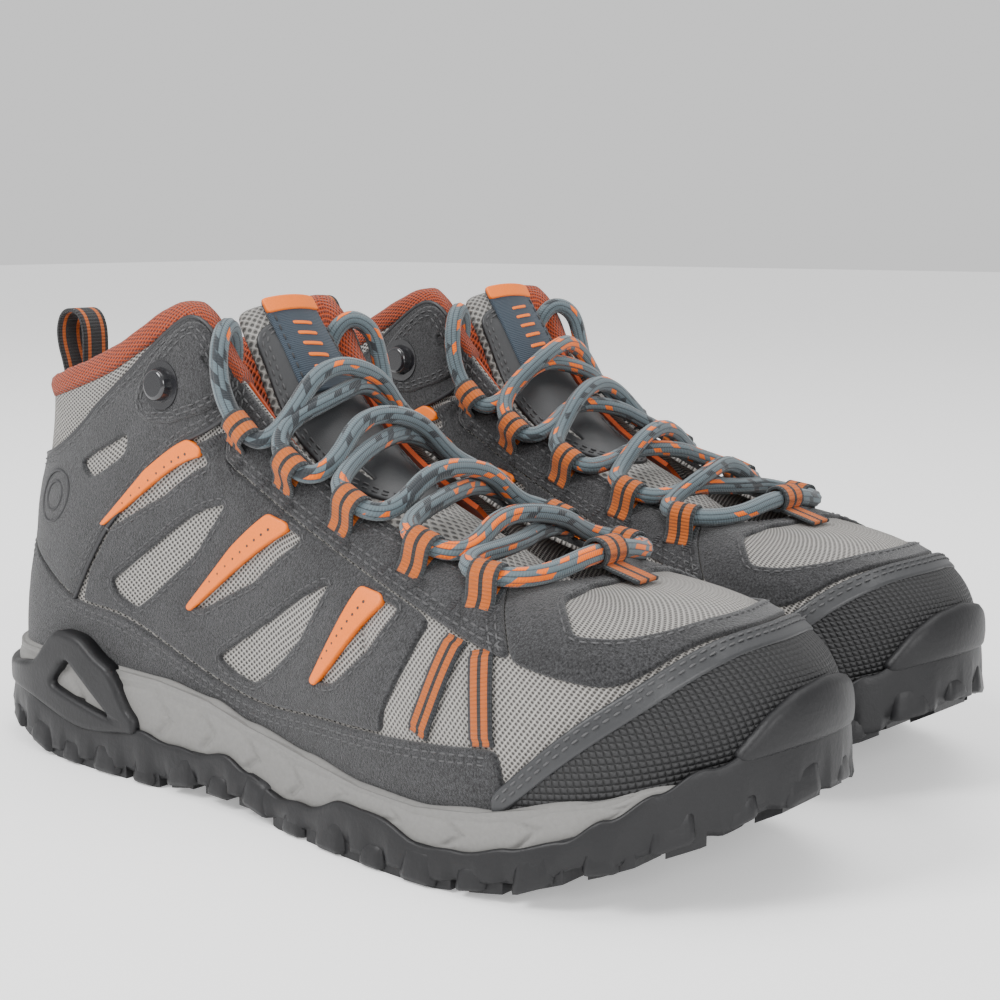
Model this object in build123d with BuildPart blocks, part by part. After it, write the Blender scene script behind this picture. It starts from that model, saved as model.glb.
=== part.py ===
from build123d import *
import math
import os

os.makedirs("parts", exist_ok=True)

# A pair of mid-height hiking boots. Each boot is worked out about its own last: x runs forward from
# the back of the heel, the outer (lateral) side of the right boot is -y, z is up from the ground.
# The left boot is the mirror image of the right one.

# ---- Driving sizes, millimetres -------------------------------------------------------------------
sole_length = 302.0          # heel to toe of the lasted foot form, EU 43
ball_width = 96.5            # widest place of the foot form
collar_height = 147.0        # high point of the collar above the ground

lug_depth = 4.0
outsole_base = 3.0           # rubber between the lugs and the midsole
outsole_wall = 1.7           # rubber that wraps up the side of the midsole
midsole_wall = 1.8           # foam lip around the upper
board_thickness = 2.0
board_overhang = 0.5         # insole board past the edge of the upper
footbed_thickness = 5.0
shank_thickness = 1.5
shank_width = 24.0

base_fabric = 1.2            # mesh of vamp and quarters
stiffener = 1.9              # heel counter, toe puff and collar foam
lining_thickness = 1.5
suede = 1.2
cap_rubber = 1.8
trim_film = 0.8              # orange overlays
webbing = 1.2

tongue_thickness = 4.0
tongue_half_width = 18.0
label_width = 17.0

lace_diameter = 5.6
aglet_length = 18.0
aglet_diameter = 4.0
loop_width = 9.5             # webbing lace loops, along the lace
loop_band = 1.0
stud_diameter = 11.0
stud_height = 4.2
stud_base_diameter = 15.0

pull_width = 11.0            # heel pull loop
pull_band = 1.6
pull_height = 23.0
pull_length = 14.0
pull_lean = 3.0

boot_spacing = 132.3         # between the two heels, sideways
left_setback = 11.1          # left boot stands this far behind the right one
left_toe_in = 3.1            # degrees, the left boot turns towards the right one

surface_tolerance = 0.05
glue_gap = 0.2               # between glued or stitched layers
toe_bulge = 0.7              # room for the upper where it leans out above the sole
fit_gap = 0.3                # between moulded parts

# ---- The last --------------------------------------------------------------------------------------
# Fourteen stations from the middle of the heel round the lateral side to the middle of the toe, on a
# last 302 long. Each has the bottom edge of the upper (x, lateral y, medial y, z), its top edge
# (x, y, z), and how the wall bulges between: rise and outward lean at the bottom, then outward lean
# and drop at the top.
LAST_LENGTH = 302.0
LAST_BALL_WIDTH = 96.5
LAST_COLLAR = 147.0
STATIONS = [
    (2, 0, 0, 22, 13, 0, 120, 30, 4, -1, 24),
    (6, 17, 17, 22, 16, 14, 120, 30, 4, -1, 24),
    (21, 30, 29, 22, 30, 25, 122, 30, 4, -1, 26),
    (48, 35, 32.5, 21.5, 60, 30, 131, 30, 3, 0, 28),
    (82, 36.5, 31.5, 20.5, 98, 30, 147, 30, 1, 1, 30),
    (116, 38, 31, 19.5, 117, 28, 127.5, 30, 0, 4, 24),
    (150, 42, 34.5, 18, 138, 25.5, 108, 27, 1, 9, 16),
    (183, 48, 41, 16.5, 163, 25, 93, 26, 2, 13, 9),
    (212, 51, 45.5, 17, 189, 25, 82.5, 25, 3, 17, 4),
    (237, 49.5, 45.5, 19, 210, 23, 77.5, 24, 5, 22, 2),
    (259, 42, 40, 22, 221, 16.5, 76.6, 24, 6, 34, 0),
    (276, 28, 31, 28, 225, 11, 76.5, 22, 7.5, 46, 0),
    (288, 10, 17, 33, 227, 5.5, 76.5, 24, 10, 54, 0),
    (291, -4, 4, 34.5, 227.5, 0, 76.5, 24, 10.5, 57, 0),
]
TOE = len(STATIONS) - 1      # station number of the toe; medial stations run on from there
RING = 2 * TOE               # stations round the whole boot

length_grade = sole_length / LAST_LENGTH
width_grade = ball_width / LAST_BALL_WIDTH
height_grade = collar_height / LAST_COLLAR


def station_points(number):
    """Bottom edge and top edge of the upper at a whole station, with the wall's four lean values."""
    side = 1 if number <= TOE else -1
    row = STATIONS[number if side > 0 else RING - number]
    x, lateral, medial, z, top_x, top_y, top_z, rise, lean, top_lean, drop = row
    y = lateral if side > 0 else -medial
    bottom = Vector(x * length_grade, -y * width_grade, z)
    top = Vector(top_x * length_grade, -side * top_y * width_grade, z + (top_z - z) * height_grade)
    return bottom, top, (rise * height_grade, lean, top_lean * length_grade, drop * height_grade)


def wall_handles():
    """The four Bezier rows that span the last: bottom edge, two rows of handles, top edge."""
    rows = [station_points(number) for number in range(RING)]
    middle = Vector(sole_length / 2, 0, 0)
    spans = []
    for number, (bottom, top, (rise, lean, top_lean, drop)) in enumerate(rows):
        along = rows[(number + 1) % RING][0] - rows[number - 1][0]
        outward = Vector(along.Y, -along.X, 0).normalized()
        if outward.dot(bottom - middle) < 0:
            outward = -outward
        low_handle = bottom + outward * lean + Vector(0, 0, rise)
        high_handle = top + outward * top_lean - Vector(0, 0, drop)
        spans.append((bottom, low_handle, high_handle, top))
    return spans


SPANS = wall_handles()


def smooth(before, here, after, beyond, f):
    """Catmull-Rom value between here and after."""
    return here + (after - before) * (f / 2) + (before * 2 - here * 5 + after * 4 - beyond) * (f * f / 2) + (
        (here - after) * 3 + beyond - before) * (f ** 3 / 2)


def last_point(u, t):
    """A point of the last: u is the place round the boot in stations, t rises from 0 to 1."""
    number = math.floor(u)
    f = u - number
    rows = [SPANS[(number + step) % RING] for step in (-1, 0, 1, 2)]
    bottom, low, high, top = [smooth(*[row[k] for row in rows], f) for k in range(4)]
    s = 1 - t
    return bottom * s ** 3 + low * (3 * s * s * t) + high * (3 * s * t * t) + top * t ** 3


def last_normal(u, t):
    """Outward normal of the last."""
    step = 0.001
    along = last_point(u + step, t) - last_point(u - step, t)
    up = last_point(u, t + step) - last_point(u, t - step)
    return along.cross(up).normalized()


def above_last(u, t, height):
    """A point at a height above the last's surface."""
    return last_point(u, t) + last_normal(u, t) * height


def curve(points):
    """A function through (u, t) points, level outside them."""
    def value(u):
        if u <= points[0][0]:
            return points[0][1]
        for (u0, t0), (u1, t1) in zip(points, points[1:]):
            if u <= u1:
                f = (u - u0) / (u1 - u0)
                return t0 + (t1 - t0) * f * f * (3 - 2 * f)
        return points[-1][1]
    return value


def band(start, end, low, high):
    """A strip round the boot between two heights, each a number or a curve of u."""
    def place(a, b):
        u = start + (end - start) * a
        t0 = low(u) if callable(low) else low
        t1 = high(u) if callable(high) else high
        return u, t0 + (t1 - t0) * b
    return place


def patch(first, second, third, fourth):
    """A four-cornered patch: first to second runs along, fourth to third lies above it."""
    def place(a, b):
        lower = [p + (q - p) * a for p, q in zip(first, second)]
        upper = [p + (q - p) * a for p, q in zip(fourth, third)]
        return tuple(p + (q - p) * b for p, q in zip(lower, upper))
    return place


def medial(place):
    """The same strip or patch on the inner side of the boot."""
    def mirrored(a, b):
        u, t = place(1 - a, b)
        return RING - u, t
    return mirrored


def layer(place, inner, thickness, along=24, across=7):
    """A closed sheet that lies over a strip or patch, from a height above the last outwards."""
    spots = [[place(i / along, j / across) for j in range(across + 1)] for i in range(along + 1)]
    stands = [[(last_point(*spot), last_normal(*spot)) for spot in row] for row in spots]
    faces = []
    for height in (inner, inner + thickness):
        grid = [[point + normal * height for point, normal in row] for row in stands]
        faces.append(Face.make_surface_from_array_of_points(grid, tol=surface_tolerance))
    return between(*faces)


def between(under, over):
    """The solid between two four-edged faces that lie over each other."""
    walls = []
    for edge in over.edges():
        partner = under.edges().sort_by_distance(edge.center())[0]
        walls.append(Face.make_surface_from_curves(edge, partner))
    return Solid(Shell([under, over] + walls))


# ---- Outlines of the sole --------------------------------------------------------------------------
def plan_points(offset):
    """The bottom edge of the upper seen from above, moved outwards."""
    points = []
    for k in range(RING * 2):
        u = k / 2
        along = last_point(u + 0.01, 0) - last_point(u - 0.01, 0)
        outward = Vector(along.Y, -along.X, 0).normalized()
        here = last_point(u, 0) + outward * offset
        points.append((here.X, here.Y))
    return points


def rise(points):
    """A side-view line through hand-set (x, z) points, graded in length."""
    return [(x * length_grade, z) for x, z in points]


def raised(line, height):
    return [(x, z + height) for x, z in line]


ground_line = rise([(-9, 16), (8, 9), (24, 4), (42, 0.3), (60, 0), (92, 0), (108, 3), (138, 3), (150, 0),
                    (186, 0), (215, 0), (238, 3), (262, 11), (281, 18.5), (292, 24.5), (300, 29)])
rubber_edge = rise([(-9, 24), (20, 20), (60, 13), (84, 16), (99, 14), (125, 15.5), (136, 13), (151, 9.5),
                    (163, 9), (179, 15), (189, 15), (208, 11), (223, 11), (238, 14), (252, 19.5),
                    (268, 26), (279, 30.5), (289, 35.5), (300, 38)])
feather_line = rise([(-9, 33), (30, 34), (66, 34), (92, 33.5), (115, 31), (133, 27), (159, 23.5),
                     (185, 20.5), (207, 20), (228, 22.5), (257, 29), (275, 34), (287, 37.5), (300, 39)])
bed_line = [(-20.0, 22.0)] + [(SPANS[k][0].X, SPANS[k][0].Z) for k in range(1, TOE)]
bed_line += [(300 * length_grade, 35.5)]

cap_clearance = cap_rubber + glue_gap + fit_gap + toe_bulge
midsole_edge = cap_clearance + midsole_wall
outsole_edge = midsole_edge + glue_gap + outsole_wall
half_room = ball_width       # half the sideways extent of a side-view cut, past both walls


def sole_prism(offset, height=80.0):
    """A straight-walled block with the sole's plan outline."""
    with BuildPart() as block:
        with BuildSketch():
            with BuildLine():
                Spline(*plan_points(offset), periodic=True)
            make_face()
        extrude(amount=height)
    return block.part


def side_prism(lower, upper):
    """A block with a side-view shape between two lines that run heel to toe."""
    with BuildPart() as block:
        with BuildSketch(Plane.XZ):
            with BuildLine():
                low = Polyline(*lower)
                high = Polyline(*upper)
                Line(low @ 0, high @ 0)
                Line(low @ 1, high @ 1)
            make_face()
        extrude(amount=half_room, both=True)
    return block.part


# ---- Sole ------------------------------------------------------------------------------------------
pieces = []


def finish(name, block):
    block.part.label = name
    pieces.append((name, block.part))


lug_pitch = 15.5
lug_length = 10.0
lug_reach = 17.0             # outer lugs, from the edge inwards
middle_lug = 20.0

with BuildPart() as outsole:
    add(side_prism(raised(ground_line, lug_depth), raised(ground_line, lug_depth + outsole_base)))
    add(sole_prism(outsole_edge), mode=Mode.INTERSECT)
    with BuildPart(mode=Mode.PRIVATE) as wrap:
        add(side_prism(raised(ground_line, lug_depth + 0.5), rubber_edge))
        add(sole_prism(outsole_edge), mode=Mode.INTERSECT)
        add(sole_prism(midsole_edge + glue_gap), mode=Mode.SUBTRACT)
    add(wrap.part)
    with BuildPart(mode=Mode.PRIVATE) as lugs:
        lug_count = int(sole_length / lug_pitch)
        for k in range(lug_count):
            x = (k + 0.6) * sole_length / lug_count
            with Locations((x, 0, 20)):
                for y in (-ball_width / 2, ball_width / 2):
                    with Locations((0, y, 0)):
                        Box(lug_length, 2 * lug_reach, 60)
            with Locations((x + lug_pitch / 2, 0, 20)):
                Box(lug_length * 0.8, middle_lug, 60)
        add(side_prism(ground_line, raised(ground_line, lug_depth + 0.5)), mode=Mode.INTERSECT)
        add(sole_prism(outsole_edge), mode=Mode.INTERSECT)
    add(lugs.part)
finish("outsole", outsole)

shank_start = 70.0 * length_grade
shank_end = 172.0 * length_grade
shank_level = lug_depth + outsole_base + 4.8

with BuildPart() as shank:
    with BuildSketch(Plane.XY.offset(shank_level)):
        with Locations(((shank_start + shank_end) / 2, 0)):
            SlotOverall(shank_end - shank_start, shank_width)
    extrude(amount=shank_thickness)
finish("shank", shank)

with BuildPart() as midsole:
    add(side_prism(raised(ground_line, lug_depth + outsole_base + glue_gap), feather_line))
    add(sole_prism(midsole_edge), mode=Mode.INTERSECT)
    with BuildPart(mode=Mode.PRIVATE) as cup:
        add(side_prism(raised(bed_line, -board_thickness - glue_gap - fit_gap), raised(bed_line, 60)))
        add(sole_prism(cap_clearance, 120), mode=Mode.INTERSECT)
    add(cup.part, mode=Mode.SUBTRACT)
    with BuildSketch(Plane.XY.offset(shank_level - glue_gap)):
        with Locations(((shank_start + shank_end) / 2, 0)):
            SlotOverall(shank_end - shank_start + 2 * glue_gap, shank_width + 2 * glue_gap)
    extrude(amount=shank_thickness + 2 * glue_gap, mode=Mode.SUBTRACT)
    # The lip is moulded against the toe cap, so it is cut back to the cap's outer face.
    cap_seat = layer(band(8.5, RING - 8.5, 0.04, 0.3), -1, cap_rubber + 2 * glue_gap + 1, 64, 8)
    add(cap_seat, mode=Mode.SUBTRACT)
finish("midsole", midsole)

clip_points = [(-9, 25), (26, 29), (48, 43.5), (54, 42.5), (69, 35.5), (84, 20), (84, 17), (60, 14),
               (20, 21), (-9, 25)]
clip_window = [(50, 34.5), (42, 25), (72, 18.5)]

with BuildPart() as heel_clip:
    with BuildSketch(Plane.XZ):
        with BuildLine():
            Polyline(*[(x * length_grade, z) for x, z in clip_points])
        make_face()
        with BuildLine():
            Polyline(*[(x * length_grade, z) for x, z in clip_window], close=True)
        make_face(mode=Mode.SUBTRACT)
    extrude(amount=half_room, both=True)
    add(sole_prism(outsole_edge), mode=Mode.INTERSECT)
    add(sole_prism(midsole_edge + glue_gap), mode=Mode.SUBTRACT)
finish("heel_clip", heel_clip)

with BuildPart() as insole_board:
    add(side_prism(raised(bed_line, -board_thickness - fit_gap), raised(bed_line, -fit_gap)))
    add(sole_prism(board_overhang), mode=Mode.INTERSECT)
finish("insole_board", insole_board)

lining_depth = base_fabric + stiffener + lining_thickness + 2 * glue_gap

with BuildPart() as footbed:
    add(side_prism(bed_line, raised(bed_line, footbed_thickness)))
    add(sole_prism(-lining_depth - 2 * fit_gap), mode=Mode.INTERSECT)
finish("footbed", footbed)

# ---- Upper: inner layers ---------------------------------------------------------------------------
quarter_end = 7.2            # station where the quarters meet the vamp
seam = 0.02                  # gap at that seam, in stations

with BuildPart() as quarter_mesh:
    add(layer(band(-quarter_end, quarter_end, 0, 1), -base_fabric, base_fabric, along=72, across=12))
finish("quarter_mesh", quarter_mesh)

with BuildPart() as vamp_mesh:
    add(layer(band(quarter_end + seam, RING - quarter_end - seam, 0, 1), -base_fabric, base_fabric,
              along=60, across=12))
finish("vamp_mesh", vamp_mesh)

stiffener_depth = -base_fabric - glue_gap - stiffener

with BuildPart() as heel_counter:
    add(layer(band(-3.3, 3.3, 0, curve([(-3.3, 0.2), (-1.5, 0.45), (1.5, 0.45), (3.3, 0.2)])),
              stiffener_depth, stiffener))
finish("heel_counter", heel_counter)

with BuildPart() as toe_puff:
    add(layer(band(9.6, RING - 9.6, 0, curve([(9.6, 0.12), (12, 0.5), (14, 0.5), (16.4, 0.12)])),
              stiffener_depth, stiffener))
finish("toe_puff", toe_puff)

with BuildPart() as collar_foam:
    add(layer(band(-4.7, 4.7, curve([(-4.7, 0.84), (-2, 0.7), (2, 0.7), (4.7, 0.84)]), 0.995),
              stiffener_depth, stiffener))
finish("collar_foam", collar_foam)

with BuildPart() as collar_lining:
    add(layer(band(-quarter_end, quarter_end, 0, 1), -lining_depth, lining_thickness, along=72, across=12))
finish("collar_lining", collar_lining)

# ---- Upper: outer layers ---------------------------------------------------------------------------
cap_top = curve([(8.7, 0.1), (9.6, 0.29), (10.65, 0.44), (11.5, 0.53), (13, 0.585), (14.5, 0.53),
                 (15.35, 0.44), (16.4, 0.29), (17.3, 0.1)])
mud_side = [(2.0, 0.41), (2.9, 0.3), (3.5, 0.27), (4.3, 0.21), (5.45, 0.155), (6.6, 0.2), (8.6, 0.26)]
mud_top = curve([(-u, t) for u, t in reversed(mud_side)] + mud_side)
stay_edge = curve([(4.9, 0.735), (6.7, 0.735), (8.1, 0.67), (9.2, 0.57)])
edge_gap = 0.012             # between neighbouring overlays, as a share of the wall's height

with BuildPart() as toe_cap:
    add(layer(band(8.75, RING - 8.75, 0.06, cap_top), glue_gap, cap_rubber, along=64, across=12))
finish("toe_cap", toe_cap)

with BuildPart() as toe_bumper:
    bumper_top = curve([(11.6, 0.17), (12.2, 0.31), (13, 0.335), (13.8, 0.31), (14.4, 0.17)])
    add(layer(band(11.6, 14.4, 0.135, bumper_top), glue_gap * 2 + cap_rubber, 2.8, along=18, across=5))
finish("toe_bumper", toe_bumper)

with BuildPart() as mudguard:
    add(layer(band(-8.6, 8.6, 0, mud_top), glue_gap, suede, along=60, across=4))
finish("mudguard", mudguard)

with BuildPart() as eyestay:
    for place in (band(4.95, 9.25, stay_edge, 0.99), medial(band(4.95, 9.25, stay_edge, 0.99))):
        add(layer(place, glue_gap, suede))
finish("eyestay", eyestay)

window = patch((10.5, 0.63), (RING - 10.5, 0.63), (RING - 10.5, 0.86), (10.5, 0.86))

with BuildPart() as vamp_overlay:
    arm = curve([(9.3, 0.56), (9.9, 0.5), (10.5, 0.47), (11, 0.51), (11.5, 0.56), (13, 0.61),
                 (14.5, 0.56), (15, 0.51), (15.5, 0.47), (16.1, 0.5), (16.7, 0.56)])
    add(layer(band(9.3, RING - 9.3, arm, 0.99), glue_gap, suede, along=36))
    add(layer(window, -glue_gap * 4, suede + 2, along=24), mode=Mode.SUBTRACT)
finish("vamp_overlay", vamp_overlay)

side_windows = [
    patch((3.35, 0.33), (4.15, 0.30), (4.75, 0.64), (4.2, 0.62)),
    patch((4.7, 0.27), (5.5, 0.22), (6.2, 0.63), (5.75, 0.65)),
    patch((6.1, 0.25), (6.9, 0.28), (7.7, 0.6), (7.2, 0.62)),
]

with BuildPart() as quarter_overlays:
    field = band(2.95, 8.2, lambda u: mud_top(u) + edge_gap,
                 lambda u: (0.66 if u < 4.95 else stay_edge(u)) - edge_gap)
    for side in (field, medial(field)):
        add(layer(side, glue_gap, suede, along=40))
    for opening in side_windows:
        for side in (opening, medial(opening)):
            add(layer(side, -glue_gap * 4, suede + 2, along=8), mode=Mode.SUBTRACT)
finish("quarter_overlays", quarter_overlays)

with BuildPart() as ankle_panels:
    flap = band(2.95, 4.9, 0.68, curve([(2.95, 0.86), (4.0, 0.97), (4.9, 0.985)]))
    for side in (flap, medial(flap)):
        add(layer(side, glue_gap, suede))
finish("ankle_panels", ankle_panels)

with BuildPart() as heel_backstay:
    add(layer(band(-2.9, 2.9, lambda u: mud_top(u) + edge_gap,
                   curve([(-2.9, 0.6), (-1.5, 0.68), (1.5, 0.68), (2.9, 0.6)])), glue_gap, suede))
finish("heel_backstay", heel_backstay)

overlay_top = glue_gap * 2 + suede
spikes = [
    patch((3.16, 0.485), (3.24, 0.475), (4.46, 0.65), (4.08, 0.665)),
    patch((4.49, 0.32), (4.6, 0.31), (6.1, 0.69), (5.77, 0.69)),
    patch((6.38, 0.29), (6.47, 0.28), (7.55, 0.63), (7.27, 0.64)),
]

with BuildPart() as orange_overlays:
    for spike in spikes:
        for side in (spike, medial(spike)):
            add(layer(side, overlay_top, trim_film, along=6, across=12))
finish("orange_overlays", orange_overlays)

straps = [
    patch((7.66, 0.27), (7.86, 0.27), (8.36, 0.55), (8.16, 0.55)),
    patch((8.34, 0.275), (8.52, 0.275), (8.72, 0.54), (8.54, 0.54)),
]

with BuildPart() as side_webbing:
    for strap in straps:
        for side in (strap, medial(strap)):
            add(layer(side, overlay_top, webbing, along=4, across=10))
finish("side_webbing", side_webbing)

# ---- Tongue ----------------------------------------------------------------------------------------
# The tongue's centre line, top to throat, with its half width and how far its sides drop.
TONGUE = [(109, 149, 18, 6), (118, 136, 18.5, 7), (131, 118.5, 20, 9), (146, 104.5, 20, 9),
          (163, 94, 19, 9), (189, 83, 18, 8), (210, 74.5, 14, 5), (232, 69, 8, 2)]


def tongue_point(s, across, depth):
    """A point of the tongue: s runs from its top down, across from -1 to 1, depth below its face."""
    k = min(int(s), len(TONGUE) - 2)
    f = s - k
    rows = [TONGUE[min(max(k + step, 0), len(TONGUE) - 1)] for step in (-1, 0, 1, 2)]
    x, z, half, drop = [smooth(*[row[c] for row in rows], f) for c in range(4)]
    half = half * tongue_half_width / TONGUE[0][2] * width_grade
    z = bed_line[5][1] + (z - bed_line[5][1]) * height_grade
    angle = across * math.radians(70)
    side = half * math.sin(angle) / math.sin(math.radians(70))
    sink = drop * (1 - math.cos(angle)) / (1 - math.cos(math.radians(70)))
    slope = Vector(0.75, 0, 0.66)
    return Vector(x * length_grade, side, z) - slope * (sink + depth)


def tongue_layer(start, end, share, depth, thickness, along=18, across=10):
    faces = []
    for d in (depth + thickness, depth):
        grid = [[tongue_point(start + (end - start) * i / along, share * (2 * j / across - 1), d)
                 for j in range(across + 1)] for i in range(along + 1)]
        faces.append(Face.make_surface_from_array_of_points(grid, tol=surface_tolerance))
    return between(*faces)


with BuildPart() as tongue:
    add(tongue_layer(0, 7, 1, 0, tongue_thickness))
finish("tongue", tongue)

with BuildPart() as tongue_patch:
    add(tongue_layer(0.8, 4.1, 0.75, -glue_gap - suede, suede))
finish("tongue_patch", tongue_patch)

with BuildPart() as tongue_label:
    add(tongue_layer(0.05, 1.8, label_width / (2 * tongue_half_width), -glue_gap * 2 - suede - webbing,
                     webbing, along=10, across=4))
finish("tongue_label", tongue_label)

# ---- Lace, loops and studs ------------------------------------------------------------------------
# Where the lace loops are sewn, as places on the last.
LOOP_PLACES = [(5.3, 0.875), (6.12, 0.91), (7.0, 0.93), (8.0, 0.915), (9.05, 0.86)]
loop_room = 0.9              # between the lace and the webbing round it
loop_radius = lace_diameter / 2 + loop_room
loop_rise = 2 * glue_gap + suede + loop_radius + loop_band

# The lace, from its lateral end over loops one to five, through the keeper and back up the other side.
LACE = [
    (104, -19, 100), (104.5, -20, 112.5), (106, -21, 125), (108, -21, 137), (111, -26.5, 143.5),
    (114.5, -34, 139.5), (116, -36.5, 128.5), (119.5, -35.5, 117.5), (129, -35, 109),
    (133, -27.5, 112.5), (133.5, -10, 132), (137.5, 10, 128), (132.5, 26, 115), (137, 33.5, 107),
    (147.5, 33.5, 100), (152, 26, 103), (149, 10, 111), (153, -10, 108.5), (154.5, -24, 102),
    (159, -32, 97.5), (170.5, -32, 92.5), (175, -24.5, 93), (176, -10, 103.5), (180, 10, 102),
    (180, 24.5, 90.5), (184.5, 32, 88), (196.5, 32, 84.5), (201.5, 24.5, 84.5), (201, 10, 86.5),
    (206, -10, 84.5), (203.5, -28, 83), (208.5, -34.5, 81), (221, -33, 80), (227, -23, 80.5),
    (229.5, -8, 84), (229.5, 8, 84), (227, 23, 80.5), (220, 33, 80), (208, 34.5, 81), (203, 27.5, 83),
    (206, 10, 91), (201, -10, 93), (202, -24.5, 84.5), (197, -32, 84.5), (185, -32, 88),
    (180, -24.5, 91), (180, -10, 95.5), (176, 10, 97), (175, 25, 92.5), (170.5, 32, 92),
    (159, 32, 97.5), (154.5, 24.5, 102), (153, 10, 115.5), (149, -10, 117.5), (152, -26, 103.5),
    (148, -33.5, 100.5), (137, -33.5, 107), (133, -26, 115), (137.5, -10, 121.5), (133.5, 10, 125.5),
    (132.5, 27, 112), (129, 35, 109), (119.5, 35.5, 117), (116, 36.5, 128.5), (114.5, 34, 139.5),
    (111, 26.5, 143.5), (108, 21, 137), (106, 21, 125), (104.5, 20, 112.5), (104, 19, 100),
]


def bend_radii(points):
    """The largest radius that each corner's two runs allow."""
    radii = []
    for before, here, after in zip(points, points[1:], points[2:]):
        turn = math.radians((here - before).get_angle(after - here))
        shorter = min((here - before).length, (after - here).length)
        radii.append(0.45 * shorter / math.tan(turn / 2))
    return radii


lace_points = [Vector(*point) for point in LACE]
lace_radii = bend_radii(lace_points)
print("lace radii", [round(r, 1) for r in lace_radii])

with BuildPart() as lace:
    with BuildLine() as lace_line:
        FilletPolyline(*lace_points, radius=lace_radii)
    with BuildSketch(lace_line.line ^ 0):
        Circle(lace_diameter / 2)
    sweep()
lace_length = sum(edge.length for edge in lace_line.line.edges())
print("lace length", round(lace_length, 1), "volume error",
      round(lace.part.volume / (lace_length * math.pi * lace_diameter ** 2 / 4) - 1, 4))
finish("lace", lace)

with BuildPart() as aglets:
    for end, neighbour in ((lace_points[0], lace_points[1]), (lace_points[-1], lace_points[-2])):
        with BuildSketch(Plane(end, z_dir=end - neighbour)):
            Circle(aglet_diameter / 2)
        extrude(amount=aglet_length)
finish("aglets", aglets)


def webbing_ring(centre, along, width):
    """A band of webbing bent round the lace."""
    with BuildPart() as ring:
        with BuildSketch(Plane(centre, z_dir=along)):
            Circle(loop_radius + loop_band)
            Circle(loop_radius, mode=Mode.SUBTRACT)
        extrude(amount=width / 2, both=True)
    return ring.part


keeper_points = [point for point in lace_points if abs(point.Y) < 10 and point.X > 220]
with BuildPart() as lace_loops:
    for u, t in LOOP_PLACES:
        for place in (u, RING - u):
            along = last_point(place + 0.02, t) - last_point(place - 0.02, t)
            add(webbing_ring(above_last(place, t, loop_rise), along, loop_width * 0.75))
    keeper_centre = (keeper_points[0] + keeper_points[1]) / 2
    add(webbing_ring(keeper_centre, keeper_points[1] - keeper_points[0], loop_width))
finish("lace_loops", lace_loops)

stud_place = (3.77, 0.8)

with BuildPart() as ankle_studs:
    for u, t in (stud_place, (RING - stud_place[0], stud_place[1])):
        seat = Plane(above_last(u, t, overlay_top + 0.6), z_dir=last_normal(u, t))
        with BuildSketch(seat):
            Circle(stud_base_diameter / 2)
        extrude(amount=1.0)
        with BuildSketch(seat.offset(1.0)):
            Circle(stud_diameter / 2)
        extrude(amount=stud_height - 1.0, taper=18)
    fillet(edges().filter_by(GeomType.CIRCLE).group_by(SortBy.LENGTH)[0], 1.2)
finish("ankle_studs", ankle_studs)

# ---- Heel pull -------------------------------------------------------------------------------------
rim = last_point(0, 1)
pull_root = 3.4              # radius of the bend at the sewn end
pull_clearance = 1.0
pull_axis = rim + Vector(2.2, 0, pull_root + pull_clearance)

pull_plane = Plane(pull_axis, x_dir=(1, 0, 0), z_dir=(0, -1, 0))


def teardrop(inset):
    """Side view of the pull loop: a small bend at its sewn end and a wide one on top."""
    with BuildSketch(pull_plane) as drop:
        Circle(pull_root - inset)
        with Locations((-pull_lean, pull_height - pull_root - pull_length / 2)):
            Circle(pull_length / 2 - inset)
        make_hull()
    return drop.sketch


with BuildPart() as heel_pull:
    extrude(teardrop(0), amount=pull_width / 2, both=True)
    extrude(teardrop(pull_band), amount=pull_width / 2, both=True, mode=Mode.SUBTRACT)
finish("heel_pull", heel_pull)

# ---- Both boots ------------------------------------------------------------------------------------
left_place = Location((-left_setback, boot_spacing, 0), (0, 0, -left_toe_in))
left_boot = [(name, mirror(piece, about=Plane.XZ).moved(left_place)) for name, piece in pieces]
boxes = [piece.bounding_box() for name, piece in pieces + left_boot]
back, front = min(box.min.X for box in boxes), max(box.max.X for box in boxes)
right_side, left_side = min(box.min.Y for box in boxes), max(box.max.Y for box in boxes)
centre = Location((-(back + front) / 2, -(right_side + left_side) / 2, 0))
print("right heel at", centre.position, "size", front - back, left_side - right_side)
print("lowest", min(box.min.Z for box in boxes), "highest", max(box.max.Z for box in boxes))
print("pull axis", pull_axis)

for side, boot_pieces in (("right_", pieces), ("left_", left_boot)):
    for name, piece in boot_pieces:
        placed = piece.moved(centre)
        placed.label = side + name
        export_step(placed, "parts/" + side + name + ".step")
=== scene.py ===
import math
import bpy
import numpy as np
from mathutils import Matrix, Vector, geometry


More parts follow.
